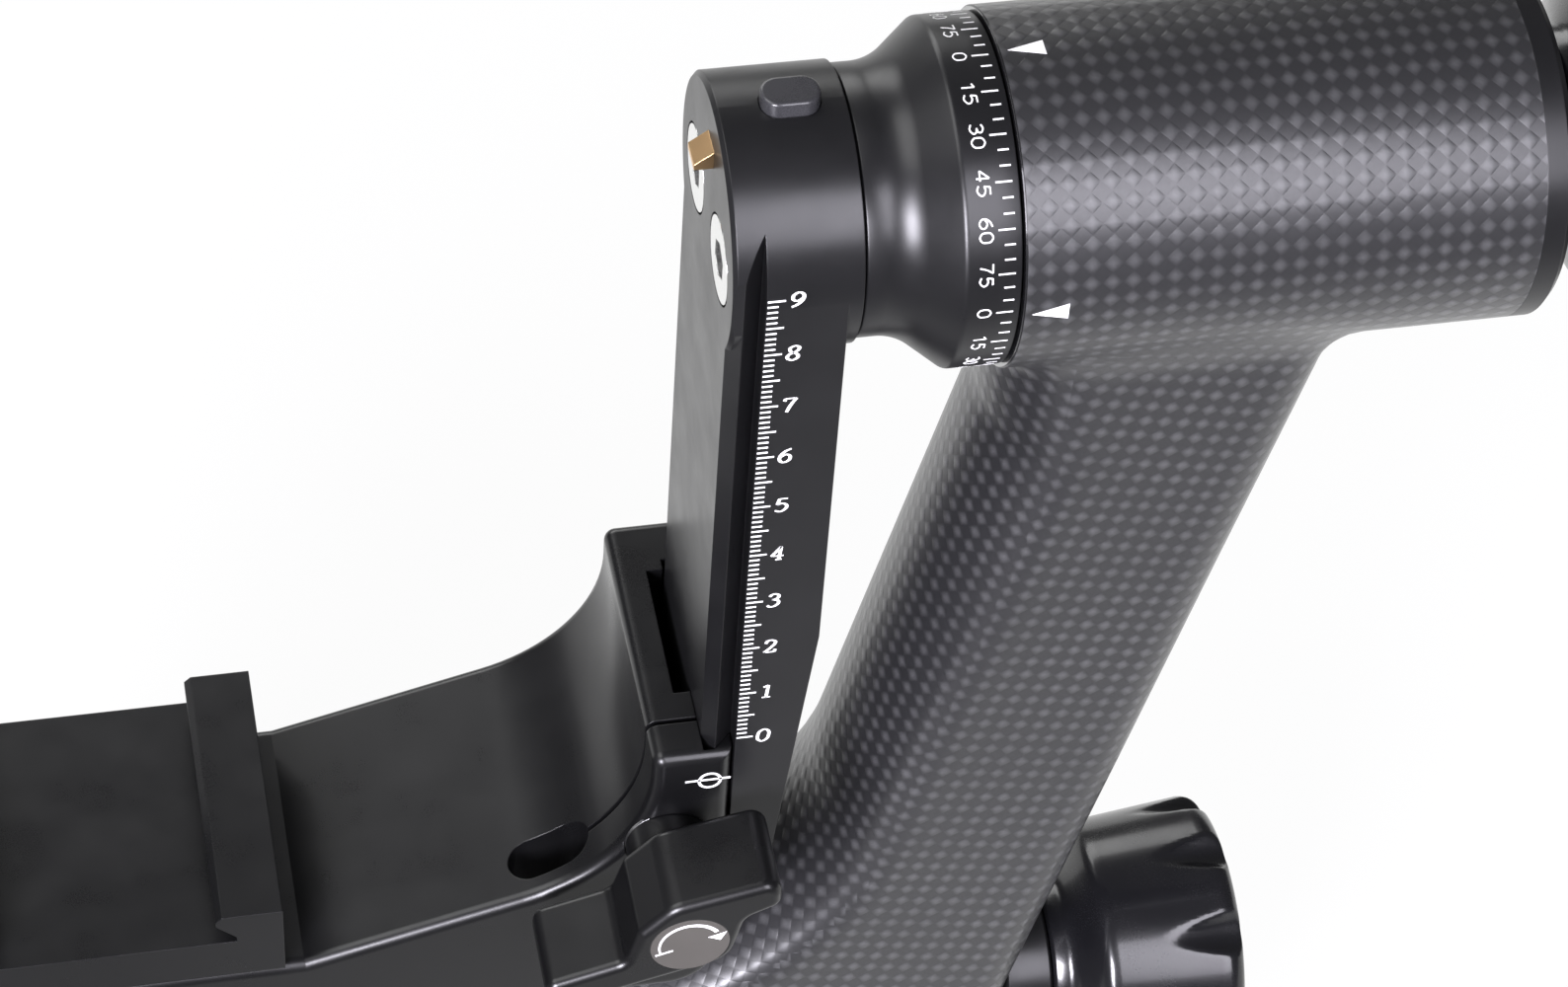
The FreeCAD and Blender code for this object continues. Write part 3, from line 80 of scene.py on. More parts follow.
class GimbalHeadSizes(bpy.types.PropertyGroup):
    """Sizes of the pieces that are built here."""

    tilt_height: length("Tilt axis height", "Height of the tilt axis above the base", 0.214)
    tube_radius: length("Tube radius", "Outer radius of the carbon tube", 0.0244)
    tube_start: length("Tube start", "Distance of the tube's open end from the pan axis", 0.12575)
    leg_half: length("Leg half width", "Half of the leaning leg's width, seen from the front", 0.0221)
    leg_depth: length("Leg half depth", "Half of the leg's and beam's depth from front to back", 0.018)
    leg_edge: length("Edge rounding", "Radius on the ridges of beam and leg", 0.0019)
    eye_radius: length("Eye radius", "Outer radius of the carbon eye round the pan housing", 0.031)
    tow: length("Tow width", "Width of one carbon tow in the weave", 0.002)
    arm_half: length("Swing arm half width", "Distance of the arm's front face from its middle", 0.019)
    scale_zero: length("Scale zero", "Height of the 0 line on the swing arm", 0.1257)
    print_thick: length("Print thickness", "How far a printed mark stands on its surface", 0.00003)
    dial_radius: length("Dial radius", "Radius of the hub's dial band", 0.0237)
    digit_tall: length("Scale digit height", "Height of the digits beside the scale", 0.0028)
    dial_digit_tall: length("Dial digit height", "Height of the digits round the dial", 0.00188)


class GimbalHeadColours(bpy.types.PropertyGroup):
    """Colours of the finishes."""

    anodised: colour("Anodised black", "Black anodised aluminium", (0.0068, 0.0068, 0.0075, 1))
    # Painted sheen: the lighter tows stand in for the highlight that one fibre direction catches.
    tow_light: colour("Carbon tow, light", "Tows that lie across the light", (0.066, 0.066, 0.069, 1))
    tow_dark: colour("Carbon tow, dark", "Tows that lie along the light", (0.017, 0.017, 0.0185, 1))
    moulded: colour("Knob black", "Moulded black of the knobs", (0.0065, 0.0065, 0.0078, 1))
    printed: colour("Print white", "White of the printed marks", (0.86, 0.86, 0.85, 1))
    badge: colour("Badge grey", "Warm grey of the lever's badge", (0.082, 0.076, 0.069, 1))
    brass: colour("Brass", "Brass of the safety pin", (0.80, 0.52, 0.27, 1))


def sizes():
    """The piece sizes, in metres."""
    return bpy.context.scene.gimbal_head_sizes


def colours():
    """The finish colours."""
    return bpy.context.scene.gimbal_head_colours


# Finishes

def add_node(tree, kind, inputs=None, **settings):
    """A shader node with its settings, its constant inputs and its links."""
    made = tree.nodes.new(kind)
    for key, setting in settings.items():
        setattr(made, key, setting)
    for key, given in (inputs or {}).items():
        if isinstance(given, bpy.types.NodeSocket):
            tree.links.new(given, made.inputs[key])
        else:
            made.inputs[key].default_value = given
    return made


def start_finish(name, sockets):
    """A material whose shader has constant sockets set."""
    made = bpy.data.materials.new(name)
    made.use_nodes = True
    shader = made.node_tree.nodes["Principled BSDF"]
    for key, given in sockets.items():
        shader.inputs[key].default_value = given
    return made, made.node_tree, shader


def calc(tree, operation, one, two=0.0, third=0.0):
    """One step of arithmetic on sockets or numbers."""
    return add_node(tree, "ShaderNodeMath", {0: one, 1: two, 2: third}, operation=operation).outputs[0]


def spread_to(tree, factor, low, high, source=(0.0, 1.0)):
    """A number moved from one span to another."""
    spans = {"Value": factor, "From Min": source[0], "From Max": source[1], "To Min": low, "To Max": high}
    return add_node(tree, "ShaderNodeMapRange", spans).outputs["Result"]


def mixed(tree, factor, one, two):
    """A colour between two."""
    made = add_node(tree, "ShaderNodeMix", {"Factor": factor}, data_type="RGBA")
    for key, given in ((6, one), (7, two)):
        if isinstance(given, bpy.types.NodeSocket):
            tree.links.new(given, made.inputs[key])
        else:
            made.inputs[key].default_value = given
    return made.outputs[2]


def noise(tree, place, size, detail=2.0, rough=0.5):
    """Noise with lumps of a given size in metres."""
    lumps = {"Vector": place, "Scale": 1 / size, "Detail": detail, "Roughness": rough}
    return add_node(tree, "ShaderNodeTexNoise", lumps).outputs["Fac"]


def object_place(tree, stretch=(1, 1, 1)):
    """Places on the object itself, stretched for a drawn grain."""
    spot = add_node(tree, "ShaderNodeTexCoord").outputs["Object"]
    return add_node(tree, "ShaderNodeMapping", {"Vector": spot, "Scale": stretch}).outputs["Vector"]


def shaded(shade, factor):
    """A colour made darker or lighter."""
    return tuple(min(1.0, part * factor) for part in shade[:3]) + (1.0,)


def worked_finish(name, shade, rough, grain=0.00012, bump=0.25, spread=0.25, edge=0.0002,
                  stretch=(1, 1, 1), dust=0.06, sockets=None):
    """A worked surface: uneven colour and gloss, a fine grain and softly broken edges.

    The grain's and the edge's sizes are in metres. The spread is how far the colour strays from its middle,
    and the dust is how much of a paler film lies in clouds.
    """
    made, tree, shader = start_finish(name, sockets or {})
    place = object_place(tree, stretch)
    fine = noise(tree, place, grain, 2, 0.6)
    cloud_size = 0.011
    cloudy = noise(tree, object_place(tree), cloud_size, 3, 0.55)
    tone = mixed(tree, fine, shaded(shade, 1 - spread), shaded(shade, 1 + spread))
    dusty = spread_to(tree, cloudy, 0, dust, (0.45, 0.75))
    tree.links.new(mixed(tree, dusty, tone, shaded(shade, 2.2)), shader.inputs["Base Color"])
    even = spread_to(tree, cloudy, rough - 0.08, rough, (0.3, 0.7))
    gloss = calc(tree, "MULTIPLY_ADD", fine, 0.10, even)
    tree.links.new(gloss, shader.inputs["Roughness"])
    rounded = add_node(tree, "ShaderNodeBevel", {"Radius": edge}, samples=6).outputs["Normal"]
    relief = {"Strength": bump, "Distance": grain * 0.15, "Height": fine, "Normal": rounded}
    tree.links.new(add_node(tree, "ShaderNodeBump", relief).outputs["Normal"], shader.inputs["Normal"])
    return made


def carbon_finish(name, light, dark):
    """Plain weave under a satin clear coat, laid out by the mesh's own weave map, whose unit is one tow."""
    made, tree, shader = start_finish(name, {"Coat Weight": 0.5, "Coat Roughness": 0.30, "Coat IOR": 1.5,
                                             "Specular IOR Level": 0.6})
    weave = add_node(tree, "ShaderNodeUVMap", uv_map="weave").outputs["UV"]
    split = add_node(tree, "ShaderNodeSeparateXYZ", {"Vector": weave})
    waves = [calc(tree, "SINE", calc(tree, "MULTIPLY", split.outputs[axis], math.pi)) for axis in "XY"]
    crossing = calc(tree, "MULTIPLY", waves[0], waves[1])
    upper = spread_to(tree, crossing, 0, 1, (-0.12, 0.22))
    dot = spread_to(tree, crossing, 0, 1, (-0.05, 1.0))
    fibres = []
    for stretch in ((2.5, 26, 1), (26, 2.5, 1)):
        along = add_node(tree, "ShaderNodeMapping", {"Vector": weave, "Scale": stretch}).outputs["Vector"]
        strands = {"Vector": along, "Scale": 1.0, "Detail": 2.0}
        fibres.append(add_node(tree, "ShaderNodeTexNoise", strands).outputs["Fac"])
    fibre = calc(tree, "ADD", calc(tree, "MULTIPLY", fibres[0], upper),
                 calc(tree, "MULTIPLY", fibres[1], calc(tree, "SUBTRACT", 1.0, upper)))
    patch_size = 0.02
    patch = noise(tree, object_place(tree), patch_size, 2, 0.5)
    # Painted sheen: the upper tow at each crossing is painted lighter, unevenly in patches, for the fibres'
    # highlight.
    painted_sheen = calc(tree, "MULTIPLY", dot, spread_to(tree, patch, 0.72, 1.0, (0.35, 0.65)))
    tone = mixed(tree, painted_sheen, dark, light)
    streaked = mixed(tree, spread_to(tree, fibre, 0.0, 0.55, (0.35, 0.75)), tone, shaded(dark, 0.45))
    tree.links.new(streaked, shader.inputs["Base Color"])
    tree.links.new(spread_to(tree, fibre, 0.34, 0.46, (0.3, 0.7)), shader.inputs["Roughness"])
    height = calc(tree, "POWER", calc(tree, "MAXIMUM", crossing, 0.0), 0.7)
    for socket, strength in (("Normal", 0.7), ("Coat Normal", 0.5)):
        bump = add_node(tree, "ShaderNodeBump", {"Strength": strength, "Distance": 0.0001, "Height": height})
        tree.links.new(bump.outputs["Normal"], shader.inputs[socket])
    return made


def make_finishes():
    """Every finish of the head, by the record's slot names and a few of their variants."""
    shades = colours()
    black = shades.anodised
    clear = {"Coat Weight": 0.3, "Coat Roughness": 0.12}
    metal = {"Metallic": 1.0}
    return {
        "anodised_black": worked_finish(
            "anodised black", black, 0.32, spread=0.3, dust=0.12, sockets={"Specular IOR Level": 0.5}),
        "satin_black": worked_finish(
            "satin black", shaded(black, 0.6), 0.30, grain=0.00018, bump=0.12, spread=0.15, edge=0.0003,
            sockets={"Specular IOR Level": 0.45, "Coat Weight": 0.15, "Coat Roughness": 0.2}),
        "carbon": carbon_finish("carbon weave", shades.tow_light, shades.tow_dark),
        "knob_black": worked_finish(
            "knob black", shades.moulded, 0.24, grain=0.00035, bump=0.10, spread=0.15, sockets=clear),
        "button_black": worked_finish(
            "button black", shaded(black, 4.5), 0.28, grain=0.00018, bump=0.10, edge=0.0003, sockets=clear),
        "steel": worked_finish(
            "ground steel", (0.46, 0.46, 0.47, 1), 0.34, grain=0.00015, spread=0.12, sockets=metal),
        "chrome_screw": worked_finish(
            "chromed screw", (0.83, 0.83, 0.82, 1), 0.20, grain=0.0002, bump=0.08, spread=0.05,
            edge=0.00025, sockets=metal),
        "brass": worked_finish(
            "brass", shades.brass, 0.33, grain=0.00008, bump=0.3, spread=0.16, stretch=(1, 6, 1),
            sockets=metal),
        "bright_rim": worked_finish(
            "polished rim", (0.010, 0.010, 0.011, 1), 0.20, bump=0.05, spread=0.2,
            sockets={"Coat Weight": 1.0, "Coat Roughness": 0.08}),
        "badge_grey": worked_finish(
            "badge grey", shades.badge, 0.46, grain=0.0001, bump=0.1, spread=0.08, edge=0.00012,
            sockets={"Metallic": 0.25}),
        "brake_pad": worked_finish("brake pad", (0.16, 0.12, 0.08, 1), 0.75, grain=0.0003, spread=0.4),
        "blackened_steel": worked_finish(
            "blackened steel", (0.045, 0.043, 0.042, 1), 0.38, grain=0.00015, sockets={"Metallic": 0.8}),
        "print": worked_finish(
            "white print", shades.printed, 0.55, grain=0.00006, bump=0.15, spread=0.04, edge=0.00001,
            dust=0.0),
    }


# Meshes

def add_piece(name, mesh, finish, body, stands_for=()):
    """A piece of the head: its mesh, finish, body, material slot and the CAD nodes it stands for."""
    made = bpy.data.objects.new(name, mesh)
    bpy.context.scene.collection.objects.link(made)
    if finish:
        mesh.materials.append(bpy.data.materials[finish])
    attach(made, body)
    if stands_for:
        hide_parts(*stands_for)
    return made


def mesh_of(name, points, faces, smooth=True):
    """A mesh from points in millimetres and faces."""
    mesh = bpy.data.meshes.new(name)
    mesh.from_pydata([tuple(float(part) * MM for part in point) for point in points], [], faces)
    mesh.update()
    if smooth:
        mesh.shade_smooth()
    return mesh


def sharpen(mesh, degrees):
    """Marks the edges where two faces meet at more than an angle as sharp."""
    form = bmesh.new()
    form.from_mesh(mesh)
    limit = math.radians(degrees)
    for edge in form.edges:
        if len(edge.link_faces) == 2 and edge.calc_face_angle(0) > limit:
            edge.smooth = False
    form.to_mesh(mesh)
    form.free()


def lathed(name, profile, level, side, across, segments, shape=None, flip=1):
    """A turned form about a line along X, closed by a flat face at each end.

    The profile's rows are distances along the line and radii. A shape may alter a ring's radii, and a flip
    of -1 turns the form towards the left.
    """
    turns = np.linspace(0, 2 * math.pi, segments, endpoint=False)
    points, faces = [], []
    for index, (along, radius) in enumerate(profile):
        ring = np.full(segments, radius) if shape is None else shape(along, radius, turns)
        points.extend(zip(np.full(segments, across + flip * along), side - ring * np.sin(turns),
                          level + ring * np.cos(turns)))
        if index:
            for step in range(segments):
                following = (step + 1) % segments
                low, high = (index - 1) * segments, index * segments
                quad = [low + step, low + following, high + following, high + step]
                faces.append(quad if flip > 0 else quad[::-1])
    ends = [list(range(segments)), list(range(len(points) - segments, len(points)))]
    faces.append(ends[0][::-1] if flip > 0 else ends[0])
    faces.append(ends[1] if flip > 0 else ends[1][::-1])
    return mesh_of(name, points, faces)


# Carbon arm

LEG_LEAN = math.radians(12.73)
LEG_BEND = 49.9
INNER_BEND = 35.0
OUTER_BEND = 17.0
TUBE_OVERLAP = 2.3
CAP_TALL = 5.9
CAP_THICK = 2.6
CAP_GAP = 0.1
LINER_BORE = 22.25
HOUSING_BORE = 26.05
BUSHING_BORE = 13.3
SPOT_FACE = 142.4
CUT_PAST = 4.0
SKIN_STEP = 1.6
SKIN_MARGIN = 3.3


def smooth_union(one, two, radius):
    """Two distance fields joined with a concave fillet."""
    near = np.hypot(np.maximum(radius - one, 0), np.maximum(radius - two, 0))
    return np.maximum(radius, np.minimum(one, two)) - near


def smooth_overlap(one, two, radius):
    """What two distance fields share, with a rounded edge."""
    near = np.hypot(np.maximum(radius + one, 0), np.maximum(radius + two, 0))
    return np.minimum(-radius, np.maximum(one, two)) + near


class CarbonForm:
    """The arm's outer skin as a distance field in millimetres: eye, beam, leaning leg and tube.

    The leg's left side turns upright LEG_BEND below the tilt axis, where it meets the tube's open end.
    """

    def __init__(self):
        low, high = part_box("carbon_arm")
        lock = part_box("pan_lock_stud")
        self.low = low.z / MM
        self.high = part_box("pan_cap")[0].z / MM + CAP_TALL - CAP_THICK - CAP_GAP
        self.lock = (lock[0].z + lock[1].z) / 2 / MM
        self.end = high.x / MM
        given = sizes()
        self.tilt = given.tilt_height / MM
        self.tube = given.tube_radius / MM
        self.start = given.tube_start / MM
        self.half = given.leg_half / MM
        self.depth = given.leg_depth / MM
        self.edge = given.leg_edge / MM
        self.eye = given.eye_radius / MM
        slope = math.tan(LEG_LEAN)
        self.along = (math.sin(LEG_LEAN), math.cos(LEG_LEAN))
        top = self.start + self.half / math.cos(LEG_LEAN) + LEG_BEND * slope
        self.foot = top - (self.tilt - self.lock) * slope
        self.bend_z = self.high + INNER_BEND
        rise = (self.bend_z - self.lock) * self.along[0]
        self.bend_x = self.foot + (rise - self.half - INNER_BEND) / self.along[1]

    def leg_place(self, x, z):
        """Distance along the leg's axis and to the right of it."""
        across, up = x - self.foot, z - self.lock
        return across * self.along[0] + up * self.along[1], across * self.along[1] - up * self.along[0]

    def bend_place(self, x, z):
        """Distance along the inner line, through its bend, counted on down the beam as on the leg."""
        middle = self.leg_place(self.bend_x, self.bend_z)[0]
        turn = math.atan2(z - self.bend_z, x - self.bend_x)
        if turn > -LEG_LEAN:
            return self.leg_place(x, z)[0]
        if turn > -math.pi / 2:
            return middle + INNER_BEND * (turn + LEG_LEAN)
        return middle - INNER_BEND * (math.pi / 2 - LEG_LEAN) + x - self.bend_x

    def inner_line(self, x, z):
        """The beam's top and the leg's left side as one line with its bend."""
        right = self.leg_place(x, z)[1]
        left = np.minimum(-self.half - right, self.start + TUBE_OVERLAP - x)
        return smooth_union(z - self.high, left, INNER_BEND)

    def bulge(self, z):
        """Radius of the sides' curve, which flattens down the leg, and how far it draws them in."""
        radius = np.interp(z, (105, 150), (27.0, 24.0))
        return radius, 0.1325 * (radius - 25)

    def ridge(self, z):
        """Rounding of the ridges, wider down the leg."""
        return np.interp(z, (95, 150), (2.5, self.edge))

    def field(self, x, y, z):
        """Signed distance, negative inside."""
        right = self.leg_place(x, z)[1]
        outer = smooth_overlap(self.low - z, right - self.half, OUTER_BEND)
        side = np.maximum(np.maximum(outer, self.inner_line(x, z)), z - self.tilt)
        side = np.maximum(side, -x)
        radius, drawn = self.bulge(z)
        curve = np.hypot(radius + side + drawn, y) - radius
        limb = smooth_overlap(curve, np.abs(y) - self.depth, self.ridge(z))
        top_edge, low_edge, beam_fillet, tube_fillet = 3.0, 1.2, 5.0, 4.0
        upright = smooth_overlap(np.hypot(x, y) - self.eye, z - self.high, top_edge)
        upright = smooth_overlap(upright, self.low - z, low_edge)
        tube = np.hypot(y, z - self.tilt) - self.tube
        tube = np.maximum(tube, np.maximum(self.start - CUT_PAST - x, x - self.end - CUT_PAST))
        return smooth_union(smooth_union(limb, upright, beam_fillet), tube, tube_fillet)


def skinned(field, low, high, step):
    """A closed quad mesh on a distance field's zero: points and faces.

    Each cell of a grid that the skin crosses gets a point, and each crossed edge of the grid a face. The
    points are then drawn onto the skin itself.
    """
    axes = [np.arange(low[axis], high[axis] + step, step) for axis in range(3)]
    grid = np.meshgrid(*axes, indexing="ij")
    inside = field(*grid)
    counts = np.array(inside.shape) - 1
    total = np.zeros(tuple(counts) + (3,))
    hits = np.zeros(tuple(counts))
    corner = [slice(0, -1), slice(1, None)]
    for axis in range(3):
        others = [one for one in range(3) if one != axis]
        for first in range(2):
            for second in range(2):
                pick = [None] * 3
                pick[others[0]], pick[others[1]] = corner[first], corner[second]
                pick[axis] = corner[0]
                near = inside[tuple(pick)]
                pick[axis] = corner[1]
                far = inside[tuple(pick)]
                crossed = (near < 0) != (far < 0)
                share = np.where(crossed, near / np.where(near == far, 1, near - far), 0)
                offset = np.zeros(tuple(counts) + (3,))
                offset[..., axis] = share
                offset[..., others[0]] = first
                offset[..., others[1]] = second
                total += offset * crossed[..., None]
                hits += crossed
    cells = np.argwhere(hits > 0)
    number = np.full(tuple(counts), -1)
    number[tuple(cells.T)] = np.arange(len(cells))
    points = np.array(low) + step * (cells + total[tuple(cells.T)] / hits[tuple(cells.T)][:, None])
    faces = []
    for axis in range(3):
        others = [one for one in range(3) if one != axis]
        pick = [slice(1, -1)] * 3
        pick[axis] = slice(0, -1)
        near = inside[tuple(pick)]
        pick[axis] = slice(1, None)
        far = inside[tuple(pick)]
        for rising in (False, True):
            crossed = (near < 0) & (far >= 0) if rising else (near >= 0) & (far < 0)
            spots = np.argwhere(crossed)
            spots[:, others[0]] += 1
            spots[:, others[1]] += 1
            quad = []
            for back_one, back_two in ((1, 1), (0, 1), (0, 0), (1, 0)):
                cell = spots.copy()
                cell[:, others[0]] -= back_one
                cell[:, others[1]] -= back_two
                quad.append(number[tuple(cell.T)])
            quad = np.stack(quad, 1)
            forward = rising if axis != 1 else not rising
            faces.extend((quad if forward else quad[:, ::-1]).tolist())
    small = 0.02
    for _ in range(4):
        base = field(*points.T)
        beside = [field(*(points + np.eye(3)[axis] * small).T) for axis in range(3)]
        slope = np.stack([(one - base) / small for one in beside], 1)
        steep = np.maximum((slope ** 2).sum(1), 0.2)
        points = points - (base / steep)[:, None] * slope * 0.8
    return points, faces


def weave_place(form, spot, facing):
    """Where a spot of the skin lies in the cloth, in millimetres along and around its limb."""
    x, y, z = (part / MM for part in spot)
    on_tube = abs(math.hypot(y, z - form.tilt) - form.tube) < 0.4 and x > form.start - 2
    if on_tube:
        return x, form.tube * math.atan2(-y, z - form.tilt)
    on_eye_top = abs(facing.z) > 0.7 and z > form.high - 3 and x < 40
    if on_eye_top:
        return x, y
    on_eye_side = math.hypot(x, y) < form.eye + 0.5 and x < 24
    if on_eye_side:
        return z, form.eye * math.atan2(y, x)
    flat_facing = 0.93
    up, right = form.leg_place(x, z)
    radius, drawn = (float(part) for part in form.bulge(z))
    centre = form.half - drawn - radius
    flat = centre + math.sqrt(radius ** 2 - form.depth ** 2)
    corner = math.asin(form.depth / radius)

    def around(across, deep):
        """Distance round the section from the middle of its front."""
        off = abs(across) - centre
        nearer_flat = form.depth - abs(deep) < radius - math.hypot(off, deep)
        if abs(facing.y) > flat_facing or off < 0 or nearer_flat:
            run = abs(across) if deep < 0 else 2 * (flat + radius * corner) - abs(across)
        else:
            run = flat + radius * (math.atan2(deep, off) + corner)
        return math.copysign(run, across)

    on_beam = x <= 70
    if on_beam:
        return -x, around(z - form.lock, y)
    on_inner_bend = facing.z - facing.x > 0.25 and up < 75 and abs(facing.y) < flat_facing
    if on_inner_bend:
        return form.bend_place(x, z), around(-form.half - float(form.inner_line(x, z)), y)
    return up, around(right, y)


def bored(made, cutters):
    """Cuts round bores out of a piece, each given as start, end and radius in millimetres."""
    for start, end, radius in cutters:
        axis = Vector(end) - Vector(start)
        bpy.ops.mesh.primitive_cylinder_add(vertices=128, radius=radius * MM, depth=axis.length * MM)
        cutter = bpy.context.object
        cutter.rotation_mode = "QUATERNION"
        cutter.rotation_quaternion = axis.to_track_quat("Z", "Y")
        cutter.location = (Vector(start) + Vector(end)) / 2 * MM
        cut = made.modifiers.new("bore", "BOOLEAN")
        cut.operation = "DIFFERENCE"
        cut.solver = "EXACT"
        cut.object = cutter
        bpy.context.view_layer.update()
        solved = made.evaluated_get(bpy.context.evaluated_depsgraph_get())
        result = bpy.data.meshes.new_from_object(solved)
        made.modifiers.clear()
        made.data = result
        bpy.data.objects.remove(cutter)


class OBJECT_OT_gimbal_carbon_arm(bpy.types.Operator):
    """Builds the one-piece carbon arm with its weave map"""

    bl_idname = "object.gimbal_carbon_arm"
    bl_label = "Carbon arm"

    def execute(self, context):
        form = CarbonForm()
        step = SKIN_STEP
        low = np.array((-form.eye, -form.eye, form.low)) - SKIN_MARGIN
        high = np.array((form.end + CUT_PAST, form.eye, form.tilt + form.tube)) + SKIN_MARGIN
        points, faces = skinned(form.field, low, high, step)
        mesh = mesh_of("carbon_arm_skin", points, faces)
        solid = bmesh.new()
        solid.from_mesh(mesh)
        for edge_x, way, above in ((form.start, -1, form.tilt - 33), (form.end, 1, form.low)):
            near = [face for face in solid.faces if face.calc_center_median().z > above * MM]
            edges = list({edge for face in near for edge in face.edges})
            verts = list({vert for edge in edges for vert in edge.verts})
            cut = bmesh.ops.bisect_plane(solid, geom=near + edges + verts, dist=1e-7,
                                         plane_co=(edge_x * MM, 0, 0), plane_no=(way, 0, 0),
                                         clear_outer=True)
            rim = [one for one in cut["geom_cut"] if isinstance(one, bmesh.types.BMEdge)]
            bmesh.ops.holes_fill(solid, edges=rim)
        bmesh.ops.recalc_face_normals(solid, faces=solid.faces)
        solid.to_mesh(mesh)
        solid.free()
        mesh.shade_smooth()
        made = add_piece("carbon_arm_skin", mesh, None, "pan", ("carbon_arm",))
        bored(made, [((form.start - 5, 0, form.tilt), (form.end + 5, 0, form.tilt), LINER_BORE),
                     ((0, 0, form.low - 5), (0, 0, form.high + 5), HOUSING_BORE),
                     ((SPOT_FACE, 0, form.lock), (180, 0, form.lock), BUSHING_BORE)])
        mesh = made.data
        mesh.materials.clear()
        mesh.materials.append(bpy.data.materials["carbon weave"])
        layer = mesh.uv_layers.new(name="weave")
        tow = sizes().tow / MM
        slant = math.sqrt(0.5)
        farthest = 12
        for face in mesh.polygons:
            middle = weave_place(form, face.center, face.normal)
            for corner in face.loop_indices:
                spot = mesh.vertices[mesh.loops[corner].vertex_index].co
                place = weave_place(form, spot, face.normal)
                if math.dist(place, middle) > farthest:
                    place = middle
                along, beside = place
                layer.data[corner].uv = (along + beside) * slant / tow, (along - beside) * slant / tow
        sharpen(mesh, 40)
        return {"FINISHED"}


# Hub

class OBJECT_OT_gimbal_hub(bpy.types.Operator):
    """Turns the flared hub with its dial band"""

    bl_idname = "object.gimbal_hub"
    bl_label = "Hub"

    def execute(self, context):
        tilt = sizes().tilt_height / MM
        wide = sizes().dial_radius / MM
        start, end, neck, core = 105.4, 125.25, 18.4, 2.0
        bore, bore_floor = 16.3, 119.4
        foot, sweep, cone, soft = 108.7, 7.7, math.radians(40), 1.2
        profile = [(start, core), (start, neck - 0.55), (start + 0.25, neck - 0.5),
                   (start + 0.45, neck - 0.08), (start + 0.6, neck)]
        for turn in np.linspace(0, cone, 22):
            profile.append((foot + sweep * math.sin(turn), neck + sweep * (1 - math.cos(turn))))
        last = profile[-1]
        edge = last[0] + (wide - last[1]) / math.tan(cone)
        profile += [(last[0] + (edge - last[0]) * share, last[1] + (wide - last[1]) * share)
                    for share in (0.2, 0.4, 0.6)]
        back = soft * math.tan(cone / 2)
        for turn in np.linspace(cone, 0, 9):
            profile.append((edge + back - soft * math.sin(turn), wide - soft * (1 - math.cos(turn))))
        profile += [(120.0, wide), (122.0, wide), (end - 0.3, wide), (end - 0.13, wide - 0.05),
                    (end - 0.05, wide - 0.25), (end, wide - 0.4), (end, bore + 0.05), (end - 0.15, bore),
                    (bore_floor, bore), (bore_floor, core)]
        mesh = lathed("hub_turned_flare", profile, tilt, 0, 0, 192)
        made = add_piece("hub_turned_flare", mesh, "anodised black", "tilt",
                         ("hub_flare",))
        sharpen(made.data, 50)
        return {"FINISHED"}


# Knobs

PAN_KNOB_RADIUS = 23.0
FLUTES = 10
FLUTE_NARROW = 0.4
FLUTE_WIDE = 4.2
NECK_LONG = 8.2
FACE_EDGE = 3.0


def fluted(radius, tall):
    """Ring shapes of a knob whose tapered flutes run out towards its neck."""
    small, large = (wide * radius / PAN_KNOB_RADIUS for wide in (FLUTE_NARROW, FLUTE_WIDE))
    centre = radius + large / 3
    begin = 6.0

    def ring(along, plain, turns):
        """Radii of one ring at its distance from the neck."""
        share = max(0.0, (along - begin) / (tall + 1 - begin))
        cutter = small + (large - small) * share
        sector = 2 * math.pi / FLUTES
        off = np.abs((turns + sector / 2) % sector - sector / 2)
        inside = cutter ** 2 - (centre * np.sin(off)) ** 2
        cut = centre * np.cos(off) - np.sqrt(np.maximum(inside, 0))
        cut = np.where(inside > 0, cut, centre * np.cos(off) + 8 * (np.sqrt(np.maximum(-inside, 0))))
        if share <= 0 or plain < radius * 0.7:
            return np.full_like(turns, plain)
        soft = 0.45
        blend = np.clip(0.5 + (cut - plain) / (2 * soft), 0, 1)
        return cut + (plain - cut) * blend - soft * blend * (1 - blend)
    return ring


def knob_profile(tall, radius, neck):
    """Half section of a knob from its neck to its face."""
    waist = radius - 2
    core, collar = 2.0, 2.2
    swell = NECK_LONG - collar
    body = tall - NECK_LONG - FACE_EDGE
    rows = [(0, core), (0, neck - 0.4), (0.35, neck), (collar, neck)]
    rows += [(collar + swell * t, neck + (waist - neck) * (t * t * (3 - 2 * t)))
             for t in np.linspace(0.15, 1, 7)]
    rows += [(NECK_LONG + body * t, waist + (radius - waist) * t) for t in np.linspace(0.06, 1, 16)]
    rows += [(tall - FACE_EDGE + FACE_EDGE * math.sin(t), radius - FACE_EDGE * (1 - math.cos(t)))
             for t in np.linspace(0.2, math.pi / 2, 7)]
    inner = radius * 0.62
    sunk = 0.6
    rows += [(tall, inner + sunk), (tall - 0.15, inner + 0.15), (tall - sunk, inner), (tall - sunk, core)]
    return rows


